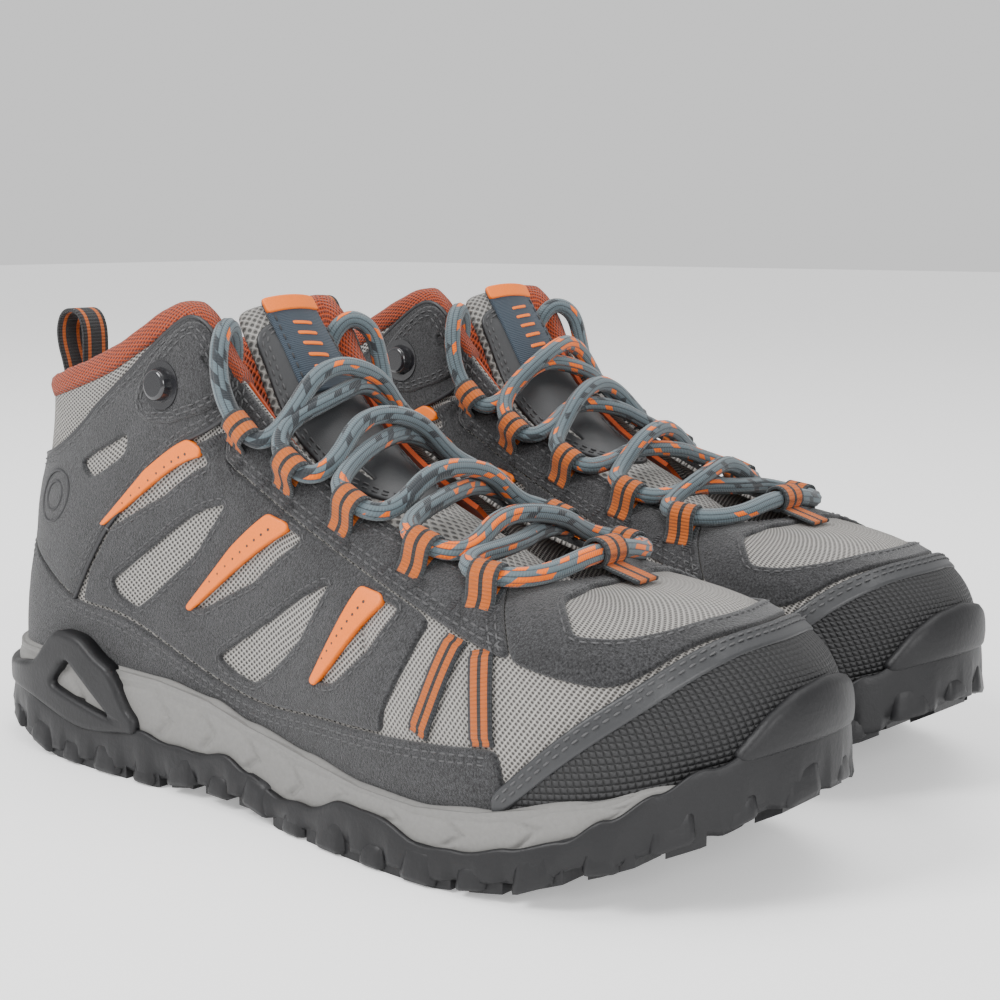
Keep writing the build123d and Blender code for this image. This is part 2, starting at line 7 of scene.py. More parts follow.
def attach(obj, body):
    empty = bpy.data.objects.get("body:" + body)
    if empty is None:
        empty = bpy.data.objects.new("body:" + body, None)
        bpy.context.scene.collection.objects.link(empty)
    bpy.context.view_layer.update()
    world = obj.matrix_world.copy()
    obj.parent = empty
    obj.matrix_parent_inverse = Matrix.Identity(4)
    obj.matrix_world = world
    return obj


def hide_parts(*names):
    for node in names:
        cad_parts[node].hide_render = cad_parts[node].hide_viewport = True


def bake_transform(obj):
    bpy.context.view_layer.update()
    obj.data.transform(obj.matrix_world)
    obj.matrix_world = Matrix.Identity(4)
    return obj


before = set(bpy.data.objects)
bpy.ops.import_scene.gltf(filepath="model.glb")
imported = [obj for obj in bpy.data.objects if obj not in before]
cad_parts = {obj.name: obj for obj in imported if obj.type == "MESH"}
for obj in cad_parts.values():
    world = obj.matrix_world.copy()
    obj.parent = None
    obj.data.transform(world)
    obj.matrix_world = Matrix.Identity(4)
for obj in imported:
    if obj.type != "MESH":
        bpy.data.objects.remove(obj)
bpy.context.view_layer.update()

# ---- The boot's own frame: millimetres, x from the heel, right boot's outer side is -y ------------
HEEL = np.array([-141.559, -60.3381, 0.0])
TURN = math.radians(-3.1)
LEFT_BACK, LEFT_ACROSS = -11.1, 132.3
MM = 1000
SIDES = ("right", "left")


def to_row(points, side):
    p = np.array(points, float).reshape(-1, 3)
    if side == "left":
        x, y = p[:, 0], -p[:, 1]
        p = np.stack([x * math.cos(TURN) - y * math.sin(TURN) + LEFT_BACK,
                      x * math.sin(TURN) + y * math.cos(TURN) + LEFT_ACROSS, p[:, 2]], 1)
    return (p + HEEL) / MM


def unit(v):
    return v / np.maximum(np.linalg.norm(v, axis=-1, keepdims=True), 1e-9)


def travel(p):
    """Length along a line, at each of its points."""
    return np.concatenate([[0], np.cumsum(np.linalg.norm(np.diff(p, axis=0), axis=1))])


# Each station, heel to toe: the lower edge's x, outer and inner half width and height; the rim's x,
# half width and height; then the wall's rise and lean below, and its lean and drop at the rim.
STATIONS = np.array([
    (2, 0, 0, 22, 13, 0, 120, 30, 4, -1, 24), (6, 17, 17, 22, 16, 14, 120, 30, 4, -1, 24),
    (21, 30, 29, 22, 30, 25, 122, 30, 4, -1, 26), (48, 35, 32.5, 21.5, 60, 30, 131, 30, 3, 0, 28),
    (82, 36.5, 31.5, 20.5, 98, 30, 147, 30, 1, 1, 30), (116, 38, 31, 19.5, 117, 28, 127.5, 30, 0, 4, 24),
    (150, 42, 34.5, 18, 138, 25.5, 108, 27, 1, 9, 16), (183, 48, 41, 16.5, 163, 25, 93, 26, 2, 13, 9),
    (212, 51, 45.5, 17, 189, 25, 82.5, 25, 3, 17, 4), (237, 49.5, 45.5, 19, 210, 23, 77.5, 24, 5, 22, 2),
    (259, 42, 40, 22, 221, 16.5, 76.6, 24, 6, 34, 0), (276, 28, 31, 28, 225, 11, 76.5, 22, 7.5, 46, 0),
    (288, 10, 17, 33, 227, 5.5, 76.5, 24, 10, 54, 0), (291, -4, 4, 34.5, 227.5, 0, 76.5, 24, 10.5, 57, 0),
], float)
RING = 26


def last_spans():
    rows = []
    for n in range(RING):
        side = 1 if n <= 13 else -1
        x, la, me, z, tx, ty, tz, rise, lean, tlean, drop = STATIONS[n if side > 0 else RING - n]
        low, top = np.array([x, -la if side > 0 else me, z]), np.array([tx, -side * ty, tz])
        rows.append((low, top, rise, lean, tlean, drop))
    out = []
    for n, (low, top, rise, lean, tlean, drop) in enumerate(rows):
        along = rows[(n + 1) % RING][0] - rows[n - 1][0]
        o = unit(np.array([along[1], -along[0], 0]))
        if o @ (low - np.array([151, 0, 0])) < 0:
            o = -o
        out.append([low, low + o * lean + [0, 0, rise], top + o * tlean - [0, 0, drop], top])
    return np.array(out)


SPANS = last_spans()


def cubic(a, b, c, d, f):
    """The curve from b to c that also heeds the points before and after."""
    return b + (c - a) * f / 2 + (2 * a - 5 * b + 4 * c - d) * f * f / 2 + (3 * (b - c) + d - a) * f ** 3 / 2


def last(u, t):
    """The upper's surface: u runs round the boot from the heel, t from the lower edge to the rim."""
    u, t = np.broadcast_arrays(np.asarray(u, float), np.asarray(t, float))
    n = np.floor(u).astype(int)
    f = (u - n)[..., None, None]
    q = cubic(*[SPANS[(n + k) % RING] for k in (-1, 0, 1, 2)], f)
    t = t[..., None]
    s = 1 - t
    return (q[..., 0, :] * s ** 3 + q[..., 1, :] * 3 * s * s * t
            + q[..., 2, :] * 3 * s * t * t + q[..., 3, :] * t ** 3)


# The tongue from its top down: x, height, half width and how far its sides sink.
TONGUE_ARC = math.radians(70)
TONGUE = np.array([(109, 149, 18, 6), (118, 136, 18.5, 7), (131, 118.5, 20, 9), (146, 104.5, 20, 9),
                   (163, 94, 19, 9), (189, 83, 18, 8), (210, 74.5, 14, 5), (232, 69, 8, 2)], float)


def tongue(s, across):
    """The tongue's surface: s runs down it, across from -1 to 1."""
    s, across = np.broadcast_arrays(np.asarray(s, float), np.asarray(across, float))
    k = np.clip(np.floor(s).astype(int), -1, 6)
    f = (s - k)[..., None]
    row = cubic(*[TONGUE[np.clip(k + j, 0, 7)] for j in (-1, 0, 1, 2)], f)
    angle = across * TONGUE_ARC
    sink = row[..., 3] * (1 - np.cos(angle)) / (1 - math.cos(TONGUE_ARC))
    side = row[..., 2] * np.sin(angle) / math.sin(TONGUE_ARC)
    return np.stack([row[..., 0] - 0.75 * sink, side, row[..., 1] - 0.66 * sink], -1)


def sole_side(offset):
    """The sole's upright side wall: a is the place round the boot, b the height."""
    def wall(a, b):
        a, b = np.broadcast_arrays(np.asarray(a, float), np.asarray(b, float))
        along = last(a + 0.02, 0) - last(a - 0.02, 0)
        out = unit(np.stack([along[..., 1], -along[..., 0]], -1))
        p = last(a, 0)
        return np.stack([p[..., 0] + out[..., 0] * offset, p[..., 1] + out[..., 1] * offset, b], -1)
    return wall


def basis(surf, a, b, e=0.003):
    """A surface's two directions and its normal."""
    pa = (surf(a + e, b) - surf(a - e, b)) / (2 * e)
    pb = (surf(a, b + e) - surf(a, b - e)) / (2 * e)
    return pa, pb, unit(np.cross(pa, pb))


def over(surf, a, b, h):
    """Points at a height over a surface."""
    a, b = np.broadcast_arrays(np.asarray(a, float), np.asarray(b, float))
    return surf(a, b) + basis(surf, a, b)[2] * np.asarray(h, float)[..., None]


def line(points):
    """Smooth value between given places."""
    x, y = np.array(points, float).T

    def value(u):
        u = np.clip(np.asarray(u, float), x[0], x[-1])
        k = np.clip(np.searchsorted(x, u, side="right") - 1, 0, len(x) - 2)
        f = (u - x[k]) / (x[k + 1] - x[k])
        return y[k] + (y[k + 1] - y[k]) * f * f * (3 - 2 * f)
    return value


def flow(points):
    """A smooth curve through given places."""
    x, y = np.array(points, float).T
    slope = np.gradient(y, x)

    def value(u):
        u = np.clip(np.asarray(u, float), x[0], x[-1])
        k = np.clip(np.searchsorted(x, u, side="right") - 1, 0, len(x) - 2)
        w = x[k + 1] - x[k]
        f = (u - x[k]) / w
        return (y[k] * (1 + 2 * f) * (1 - f) ** 2 + y[k + 1] * f * f * (3 - 2 * f)
                + slope[k] * w * f * (1 - f) ** 2 + slope[k + 1] * w * f * f * (f - 1))
    return value


# ---- Materials --------------------------------------------------------------------------------------
def rgba(color):
    return color if isinstance(color, bpy.types.NodeSocket) else (*color, 1)


def toned(color, k):
    return tuple(v * k for v in color)


class Net:
    """Short words for a material's nodes."""

    def __init__(self, name):
        self.mat = bpy.data.materials.new(name)
        self.mat.use_nodes = True
        self.t = self.mat.node_tree
        self.shader = self.t.nodes["Principled BSDF"]

    def node(self, kind, **sets):
        n = self.t.nodes.new(kind)
        for k, v in sets.items():
            setattr(n, k, v)
        return n

    def link(self, value, socket):
        if isinstance(value, bpy.types.NodeSocket):
            self.t.links.new(value, socket)
        else:
            socket.default_value = value

    def math(self, op, a, b=0.0, c=0.0):
        n = self.node("ShaderNodeMath", operation=op)
        for v, s in zip((a, b, c), n.inputs):
            self.link(v, s)
        return n.outputs[0]

    def ripple(self, value):
        return self.math("ABSOLUTE", self.math("SINE", value))

    def waves(self, value, pitch):
        return self.ripple(self.math("MULTIPLY", value, pitch * math.pi))

    def coords(self, kind="Object"):
        return self.node("ShaderNodeTexCoord").outputs[kind]

    def parts(self, vector):
        n = self.node("ShaderNodeSeparateXYZ")
        self.link(vector, n.inputs[0])
        return n.outputs

    def noise(self, scale, detail=3.0, rough=0.55, vector=None):
        n = self.node("ShaderNodeTexNoise")
        self.link(vector if vector is not None else self.coords(), n.inputs["Vector"])
        n.inputs["Scale"].default_value = scale
        n.inputs["Detail"].default_value = detail
        n.inputs["Roughness"].default_value = rough
        return n.outputs["Fac"]

    def ramp(self, value, stops):
        n = self.node("ShaderNodeValToRGB")
        self.link(value, n.inputs[0])
        e = n.color_ramp.elements
        while len(e) < len(stops):
            e.new(0.5)
        for el, (pos, col) in zip(e, stops):
            el.position = pos
            el.color = (*col, 1) if len(col) == 3 else col
        return n.outputs[0]

    def mix(self, fac, a, b):
        n = self.node("ShaderNodeMix", data_type="RGBA")
        self.link(fac, n.inputs[0])
        for v, s in ((a, n.inputs[6]), (b, n.inputs[7])):
            self.link(rgba(v), s)
        return n.outputs[2]

    def bump(self, height, distance):
        n = self.node("ShaderNodeBump")
        self.link(height, n.inputs["Height"])
        n.inputs["Distance"].default_value = distance
        n.inputs["Strength"].default_value = 1
        self.t.links.new(n.outputs[0], self.shader.inputs["Normal"])

    def set(self, color=None, rough=0.8, **others):
        if color is not None:
            self.link(rgba(color), self.shader.inputs["Base Color"])
        self.link(rough, self.shader.inputs["Roughness"])
        for k, v in others.items():
            self.shader.inputs[k.replace("_", " ")].default_value = v
        return self.mat


def suede_look(name, dark, light, grain=900):
    n = Net(name)
    fine = n.noise(grain, 4, 0.7)
    wide = n.noise(60, 3)
    col = n.ramp(fine, [(0.36, dark), (0.52, tuple((a + b) / 2 for a, b in zip(dark, light))), (0.68, light)])
    shade = n.ramp(wide, [(0.3, (0.82, 0.82, 0.82)), (0.7, (1.1, 1.1, 1.1))])
    m = n.node("ShaderNodeMix", data_type="RGBA", blend_type="MULTIPLY")
    m.inputs[0].default_value = 1
    n.link(col, m.inputs[6])
    n.link(shade, m.inputs[7])
    n.bump(fine, 0.00045)
    return n.set(m.outputs[2], 0.95, Sheen_Weight=0.25, Sheen_Roughness=0.5, Specular_IOR_Level=0.2)


def mesh_look(name, thread, hole, pitch=(520, 400), size=0.0007):
    n = Net(name)
    x, y, _ = n.parts(n.coords("UV"))
    a = n.math("MULTIPLY", x, pitch[0] * math.pi)
    b = n.math("MULTIPLY", y, pitch[1] * math.pi)
    gap = n.math("MULTIPLY", n.ripple(n.math("ADD", a, b)), n.ripple(n.math("SUBTRACT", a, b)))
    lit = n.mix(n.noise(900, 2), toned(thread, 0.75), thread)
    col = n.mix(n.ramp(gap, [(0.34, (0, 0, 0)), (0.7, (1, 1, 1))]), lit, hole)
    n.bump(n.math("SUBTRACT", 1.0, gap), size)
    return n.set(col, 0.8, Sheen_Weight=0.15, Specular_IOR_Level=0.3)


def plain_look(name, color, rough, grain=0.0, scale=500, **sets):
    n = Net(name)
    f = n.noise(scale, 3)
    col = n.mix(f, toned(color, 0.85), toned(color, 1.12))
    if grain:
        n.bump(f, grain)
    worn = n.ramp(n.noise(45, 2), [(0.3, (rough * 0.9,) * 3), (0.7, (min(1, rough * 1.08),) * 3)])
    return n.set(col, worn, **sets)


def grid_look(name, color, pitch=560):
    n = Net(name)
    x, y, _ = n.parts(n.coords("UV"))
    h = n.math("POWER", n.math("MULTIPLY", n.waves(x, pitch), n.waves(y, pitch)), 0.6)
    # painted shade and highlight: the grid's grooves are darkened to 0.45 of the rubber's colour and its
    # raised squares lightened to 1.25, following the same height h as the bump
    col = n.mix(h, toned(color, 0.45), toned(color, 1.25))
    n.bump(h, 0.0006)
    return n.set(col, 0.55, Specular_IOR_Level=0.45)


def webbing_look(name, ground, stripe, edge, band, rib=900):
    """Woven tape: stripes across (UV x, -1 to 1), ribs along (UV y, metres)."""
    n = Net(name)
    x, y, _ = n.parts(n.coords("UV"))
    lo, hi = band
    col = n.ramp(n.math("ABSOLUTE", x), [(0.0, ground), (lo - 0.01, ground), (lo + 0.01, stripe),
                                         (hi - 0.01, stripe), (hi + 0.01, edge)])
    h = n.math("MULTIPLY", n.waves(y, rib), n.waves(x, 14))
    # painted shade: the colour is darkened towards black between the ribs, where h is low, following the same
    # h as the bump
    col = n.mix(h, n.mix(0.55, col, (0.01, 0.01, 0.01)), col)
    n.bump(h, 0.0004)
    return n.set(col, 0.75, Sheen_Weight=0.15, Specular_IOR_Level=0.3)


def lace_look():
    """Braided cover: ribs run along, short flecks in orange and black."""
    n = Net("lace_cover")
    x, y, _ = n.parts(n.coords("UV"))
    cell = n.node("ShaderNodeCombineXYZ")
    skew = n.math("ADD", n.math("MULTIPLY", y, 300), n.math("MULTIPLY", x, 5.0))
    n.link(n.math("FLOOR", n.math("MULTIPLY", x, 10)), cell.inputs[0])
    n.link(n.math("FLOOR", skew), cell.inputs[1])
    white = n.node("ShaderNodeTexWhiteNoise", noise_dimensions="2D")
    n.link(cell.outputs[0], white.inputs["Vector"])
    spread = n.noise(22, 1, 0.5)
    chance = n.math("ADD", white.outputs["Value"], n.math("MULTIPLY", n.math("SUBTRACT", spread, 0.5), 1.3))
    black, slate, orange = (0.03, 0.035, 0.04), (0.10, 0.132, 0.148), (0.80, 0.145, 0.002)
    fleck = n.ramp(chance, [(0.0, black), (0.03, black), (0.035, slate), (0.84, slate), (0.845, orange),
                            (1.0, orange)])
    groove = n.waves(x, 10)
    weave = n.waves(n.math("ADD", y, n.math("MULTIPLY", x, 0.004)), 1300)
    # painted shade: the gaps between the ribs, where groove is low, are coloured black; elsewhere the flecks
    # show
    col = n.mix(n.ramp(groove, [(0.0, (0, 0, 0)), (0.45, (1, 1, 1))]), black, fleck)
    n.bump(n.math("ADD", groove, n.math("MULTIPLY", weave, 0.35)), 0.0004)
    return n.set(col, 0.8, Sheen_Weight=0.2, Specular_IOR_Level=0.25)


BRIGHT = (0.86, 0.18, 0.002)
NEAR_BLACK = (0.015, 0.015, 0.017)
DARK = (0.02, 0.02, 0.022)
LOOK = {
    "suede": suede_look("suede_charcoal", (0.006, 0.006, 0.0065), (0.055, 0.055, 0.058), 1500),
    "mesh": mesh_look("mesh_warm_grey", (0.42, 0.40, 0.375), (0.035, 0.033, 0.03), (430, 620)),
    "mesh_fine": mesh_look("mesh_toe_window", (0.42, 0.40, 0.375), (0.06, 0.056, 0.052), (560, 600), 0.0006),
    "collar": mesh_look("mesh_rust", (0.46, 0.062, 0.008), (0.12, 0.014, 0.003), (430, 430), 0.0006),
    "tongue_mesh": mesh_look("mesh_tongue_grey", (0.33, 0.32, 0.30), (0.07, 0.068, 0.065), (430, 330)),
    "cap": grid_look("toe_rubber_grid", (0.012, 0.012, 0.013)),
    "rubber": plain_look("outsole_rubber", (0.005, 0.005, 0.006), 0.5, 0.00012, 700, Specular_IOR_Level=0.4),
    "foam": plain_look("midsole_foam", (0.178, 0.175, 0.168), 0.75, 0.0001, 800, Specular_IOR_Level=0.3),
    "board": plain_look("fibre_board", (0.4, 0.37, 0.3), 0.9),
    "steel": plain_look("shank_steel", (0.5, 0.5, 0.52), 0.35, Metallic=1.0),
    "plastic": plain_look("stiffener", (0.7, 0.68, 0.62), 0.6),
    "lining_foam": plain_look("soft_foam", (0.55, 0.5, 0.36), 0.95),
    "footbed": plain_look("footbed_cover", (0.06, 0.06, 0.065), 0.9, 0.0002, 1500, Sheen_Weight=0.2),
    "patch": plain_look("tongue_leather", (0.026, 0.027, 0.029), 0.42, 0.00006, 2500, Specular_IOR_Level=0.5),
    "orange": plain_look("orange_film", (0.82, 0.16, 0.0012), 0.5, 0.00005, 1800),
    "stud": plain_look("stud_gloss", (0.012, 0.012, 0.014), 0.18, Coat_Weight=0.5, Coat_Roughness=0.1),
    "stitch": plain_look("grey_thread", (0.065, 0.065, 0.067), 0.7, 0.00005, 3000),
    "dark_stitch": plain_look("dark_thread", DARK, 0.6),
    "piping": plain_look("dark_piping", DARK, 0.5),
    "aglet": plain_look("aglet_film", DARK, 0.3),
    "loop": webbing_look("loop_webbing", (0.015, 0.017, 0.02), BRIGHT, (0.03, 0.037, 0.042), (0.14, 0.74)),
    "strap": webbing_look("side_webbing", NEAR_BLACK, BRIGHT, (0.02, 0.024, 0.03), (0.16, 0.72)),
    "pull": webbing_look("pull_webbing", NEAR_BLACK, (0.84, 0.17, 0.002), NEAR_BLACK, (0.42, 0.68)),
    "label": webbing_look("label_tape", (0.045, 0.07, 0.10), (0.06, 0.09, 0.125), (0.05, 0.075, 0.105),
                          (0.3, 0.7), 1500),
    "lace": lace_look(),
}


# ---- Mesh helpers -----------------------------------------------------------------------------------
def piece(name, side, data, look, body="boot"):
    """One mesh on one boot, from points in the boot's own millimetres."""
    verts, faces, uv = data
    mesh = bpy.data.meshes.new(f"{side}_{name}_mesh")
    faces = [list(f) for f in faces]
    if side == "left":
        faces = [f[::-1] for f in faces]
    mesh.from_pydata(to_row(verts, side).tolist(), [], faces)
    if uv is not None:
        layer = mesh.uv_layers.new(name="UVMap")
        index = np.zeros(len(mesh.loops), int)
        mesh.loops.foreach_get("vertex_index", index)
        layer.data.foreach_set("uv", np.asarray(uv, float)[index].ravel())
    mesh.polygons.foreach_set("use_smooth", [True] * len(mesh.polygons))
    mesh.materials.append(LOOK[look])
    mesh.validate()
    obj = bpy.data.objects.new(f"{side}_{name}", mesh)
    bpy.context.scene.collection.objects.link(obj)
    if body:
        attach(obj, f"{side}_{body}")
    return obj


def both(name, data, look, body="boot"):
    return [piece(name, side, data, look, body) for side in SIDES]


def join(datas):
    """Several meshes as one."""
    verts, faces, uvs, base = [], [], [], 0
    for v, f, uv in datas:
        verts.append(v)
        faces += [[i + base for i in face] for face in f]
        uvs.append(uv if uv is not None else np.zeros((len(v), 2)))
        base += len(v)
    return np.concatenate(verts), faces, np.concatenate(uvs)


def even(points, step, closed=True):
    """Points of a polyline at an even spacing."""
    p = np.asarray(points, float)
    if closed:
        p = np.concatenate([p, p[:1]])
    d = travel(p)
    n = max(int(round(d[-1] / step)), 4)
    s = np.linspace(0, d[-1], n + 1)
    out = np.stack([np.interp(s, d, p[:, k]) for k in range(p.shape[1])], 1)
    return out[:-1] if closed else out


def on_surface(ab, surf, step, closed=True):
    """Resample a line in surface coordinates at an even real spacing."""
    ab = np.asarray(ab, float)
    if closed:
        ab = np.concatenate([ab, ab[:1]])
    fine = np.concatenate([np.linspace(p, q, 24, endpoint=False) for p, q in zip(ab, ab[1:])] + [ab[-1:]])
    d = travel(surf(fine[:, 0], fine[:, 1]))
    n = max(int(round(d[-1] / step)), 6)
    s = np.linspace(0, d[-1], n + 1)
    out = np.stack([np.interp(s, d, fine[:, k]) for k in (0, 1)], 1)
    return out[:-1] if closed else out


def soften(ab, rounds, closed=True):
    """Round a line's corners."""
    p = np.array(ab, float)
    for _ in range(rounds):
        q = (np.roll(p, 1, 0) + 2 * p + np.roll(p, -1, 0)) / 4
        if not closed:
            q[0], q[-1] = p[0], p[-1]
        p = q
    return p


def inside(points, poly):
    """Which points lie inside a flat outline."""
    x, y = points[:, 0][:, None], points[:, 1][:, None]
    x0, y0 = poly[:, 0][None], poly[:, 1][None]
    x1, y1 = np.roll(poly[:, 0], -1)[None], np.roll(poly[:, 1], -1)[None]
    hit = ((y0 > y) != (y1 > y)) & (x < (x1 - x0) * (y - y0) / np.where(y1 == y0, 1e-12, y1 - y0) + x0)
    return hit.sum(1) % 2 == 1


def ahead(p, closed):
    """A line's direction at each of its points."""
    return np.roll(p, -1, 0) - np.roll(p, 1, 0) if closed else np.gradient(p, axis=0)


def inset(ab, surf, distance, closed=True):
    """Move a line in surface coordinates sideways by a real distance, to its left."""
    p = np.asarray(ab, float)
    pa, pb, n = basis(surf, p[:, 0], p[:, 1])
    step = ahead(p, closed)
    tangent = pa * step[:, :1] + pb * step[:, 1:]
    d = unit(np.cross(n, tangent))
    g11, g12, g22 = (pa * pa).sum(1), (pa * pb).sum(1), (pb * pb).sum(1)
    r1, r2 = (pa * d).sum(1), (pb * d).sum(1)
    det = g11 * g22 - g12 * g12
    move = np.stack([(g22 * r1 - g12 * r2) / det, (g11 * r2 - g12 * r1) / det], 1)
    return p + move * distance


def turned(poly):
    """The outline, run anticlockwise."""
    x, y = poly.T
    area = (x * np.roll(y, -1) - y * np.roll(x, -1)).sum()
    return poly if area > 0 else poly[::-1]


def outlined(outline, surf, step=1.4, rounds=3):
    return turned(soften(on_surface(outline, surf, step), rounds))


def far(points, loops):
    """How far points are from the nearest of several closed lines."""
    best = np.full(len(points), 1e9)
    for q in loops:
        a, b = q, np.roll(q, -1, 0)
        ab = b - a
        for lo in range(0, len(points), 400):
            p = points[lo:lo + 400]
            f = ((p[:, None] - a[None]) * ab[None]).sum(-1) / np.maximum((ab * ab).sum(-1), 1e-9)[None]
            f = np.clip(f, 0, 1)
            d = np.linalg.norm(p[:, None] - a[None] - f[..., None] * ab[None], axis=-1).min(1)
            best[lo:lo + 400] = np.minimum(best[lo:lo + 400], d)
    return best


SEAM_IN, SWELL = 2.6, 8.0


def panel(surf, outline, holes=(), lift=0.0, thick=1.2, edge=0.9, step=1.4, grid=3.2, rounds=3, puff=0.0,
          pinch=0.25, under=0.5):
    """A closed sheet cut to an outline and laid on a surface, with a rolled edge and pinched seam."""
    loops = [outlined(outline, surf, step, rounds)] + [outlined(h, surf, step, rounds)[::-1] for h in holes]

    def cut(q):
        """Which places are in the outline and out of its holes."""
        keep = inside(q, loops[0])
        for h in loops[1:]:
            keep &= ~inside(q, h)
        return keep
    real = [surf(q[:, 0], q[:, 1]) for q in loops]
    centre = loops[0].mean(0)
    pa, pb, _ = basis(surf, centre[:1], centre[1:])
    scale = np.array([np.linalg.norm(pa), np.linalg.norm(pb)])
    pts, edges = [], []
    for q in loops:
        base = len(pts)
        pts += q.tolist()
        edges += [(base + i, base + (i + 1) % len(q)) for i in range(len(q))]
    # rows of points follow the edge, then a staggered grid fills the middle
    inner = [(inset(q, surf, edge * r), edge * away * 0.95) for q in loops
             for r, away in ((0.3, 0.2), (0.75, 0.55), (1.3, 1.0))]
    low, high = loops[0].min(0), loops[0].max(0)
    na, nb = [max(int(v), 2) for v in (high - low) * scale / grid]
    ga, gb = np.meshgrid(np.linspace(low[0], high[0], na + 1), np.linspace(low[1], high[1], nb + 1),
                         indexing="ij")
    ga = ga + ((np.arange(nb + 1) % 2) * 0.5 * (high[0] - low[0]) / na)[None]
    inner.append((np.stack([ga.ravel(), gb.ravel()], 1), edge * 1.3 + grid * 0.3))
    for q, away in inner:
        q = q[cut(q)]
        pts += q[far(surf(q[:, 0], q[:, 1]), real) > away].tolist()
    flat = [Vector((p[0] * scale[0], p[1] * scale[1])) for p in pts]
    v2, _, tris, *_ = geometry.delaunay_2d_cdt(flat, edges, [], 0, 1e-5)
    ab = np.array([(v.x / scale[0], v.y / scale[1]) for v in v2])
    tris = np.array([t for t in tris if len(t) == 3])
    tris = tris[cut(ab[tris].mean(1))]
    used = np.unique(tris)
    remap = -np.ones(len(ab), int)
    remap[used] = np.arange(len(used))
    ab, tris = ab[used], remap[tris]
    p = surf(ab[:, 0], ab[:, 1])
    n = basis(surf, ab[:, 0], ab[:, 1])[2]
    d = far(p, real)
    q = np.clip(d / edge, 0, 1)
    h = thick * (0.35 + 0.65 * np.sqrt(1 - (1 - q) ** 2))
    h = h - pinch * np.exp(-(d - SEAM_IN) ** 2) + puff * (1 - np.exp(-(d / SWELL) ** 2))
    top = p + n * (lift + h)[:, None]
    bottom = p + n * (lift - under)
    e = np.concatenate([tris[:, [0, 1]], tris[:, [1, 2]], tris[:, [2, 0]]])
    key = e[:, 0] * (len(ab) + 1) + e[:, 1]
    back = e[:, 1] * (len(ab) + 1) + e[:, 0]
    rim = e[~np.isin(key, back)]
    m = len(ab)
    faces = tris.tolist() + (tris[:, ::-1] + m).tolist() + [[b, a, a + m, b + m] for a, b in rim.tolist()]
    uv = chart(surf, ab, p)
    return np.concatenate([top, bottom]), faces, np.concatenate([uv, uv])


AROUND = np.linspace(-13, 39, 521)
ARC = travel(last(AROUND, 0.4))
HEIGHT = line([(-13, 62), (-4, 118), (0, 102), (4, 128), (6, 96), (9, 78), (13, 88), (17, 78), (20, 96),
               (22, 128), (26, 102)])


def chart(surf, ab, p):
    """Flat coordinates in metres, for woven and moulded patterns."""
    if surf is last:
        return np.stack([np.interp(ab[:, 0], AROUND, ARC), ab[:, 1] * HEIGHT(ab[:, 0])], 1) / MM
    if surf is tongue:
        return np.stack([p[:, 1], ab[:, 0] * 21], 1) / MM
    return np.stack([p[:, 0], p[:, 2]], 1) / MM


def rings(count, m, closed=False):
    """Faces over rings of m points each, with a flat end at each end unless they close."""
    faces = []
    for i in range(count if closed else count - 1):
        j = (i + 1) % count
        faces += [[i * m + k, i * m + (k + 1) % m, j * m + (k + 1) % m, j * m + k] for k in range(m)]
    if not closed:
        faces += [list(range(m))[::-1], [(count - 1) * m + k for k in range(m)]]
    return faces


def stitches(surf, path, lift, length=2.3, gap=0.9, radius=0.3, closed=False):
    """Thread along a line of surface coordinates, one small rounded stitch after another."""
    path = on_surface(path, surf, 0.7, closed)
    p = over(surf, path[:, 0], path[:, 1], np.full(len(path), lift))
    n = basis(surf, path[:, 0], path[:, 1])[2]
    d = travel(p)
    count = int(d[-1] / (length + gap))
    if count < 1:
        return None
    mid = (np.arange(count) + 0.5) * d[-1] / count
    c, a, b, nn = [np.stack([np.interp(s, d, v[:, k]) for k in range(3)], 1) for s, v in
                   ((mid, p), (mid - length / 2, p), (mid + length / 2, p), (mid, n))]
    ax = unit(b - a)
    ay = unit(np.cross(nn, ax))
    az = np.cross(ax, ay)
    verts = []
    for x, r in ((-1, 0.35), (-0.7, 0.9), (0, 1.15), (0.7, 0.9), (1, 0.35)):
        for k in range(6):
            w = math.radians(60 * k)
            rise = 0.12 if abs(x) < 0.9 else -0.25
            verts.append((x * length / 2, math.cos(w) * r * radius, math.sin(w) * r * radius + rise))
    t = np.array(verts)
    v = c[:, None] + sum(t[None, :, k:k + 1] * axis[:, None] for k, axis in enumerate((ax, ay, az)))
    faces = [[i + 30 * s for i in f] for s in range(count) for f in rings(5, 6)]
    return v.reshape(-1, 3), faces, None


def swept(path, wide, width, thick, closed=False):
    """A flat strap along a path; wide is the width direction at each point, or all along."""
    p = np.asarray(path, float)
    w = unit(np.broadcast_to(np.asarray(wide, float), p.shape))
    n = unit(np.cross(unit(ahead(p, closed)), w))
    half, h = width / 2, thick / 2
    section = [(-1, -0.35), (-0.93, -1), (-0.5, -1), (0, -1), (0.5, -1), (0.93, -1), (1, -0.35),
               (1, 0.35), (0.93, 1), (0.5, 1), (0, 1), (-0.5, 1), (-0.93, 1), (-1, 0.35)]
    s = travel(p) / MM
    verts = np.concatenate([p[i] + [x * half * w[i] + y * h * n[i] for x, y in section]
                            for i in range(len(p))])
    uv = np.array([(x, s[i]) for i in range(len(p)) for x, y in section])
    return verts, rings(len(p), len(section), closed), uv


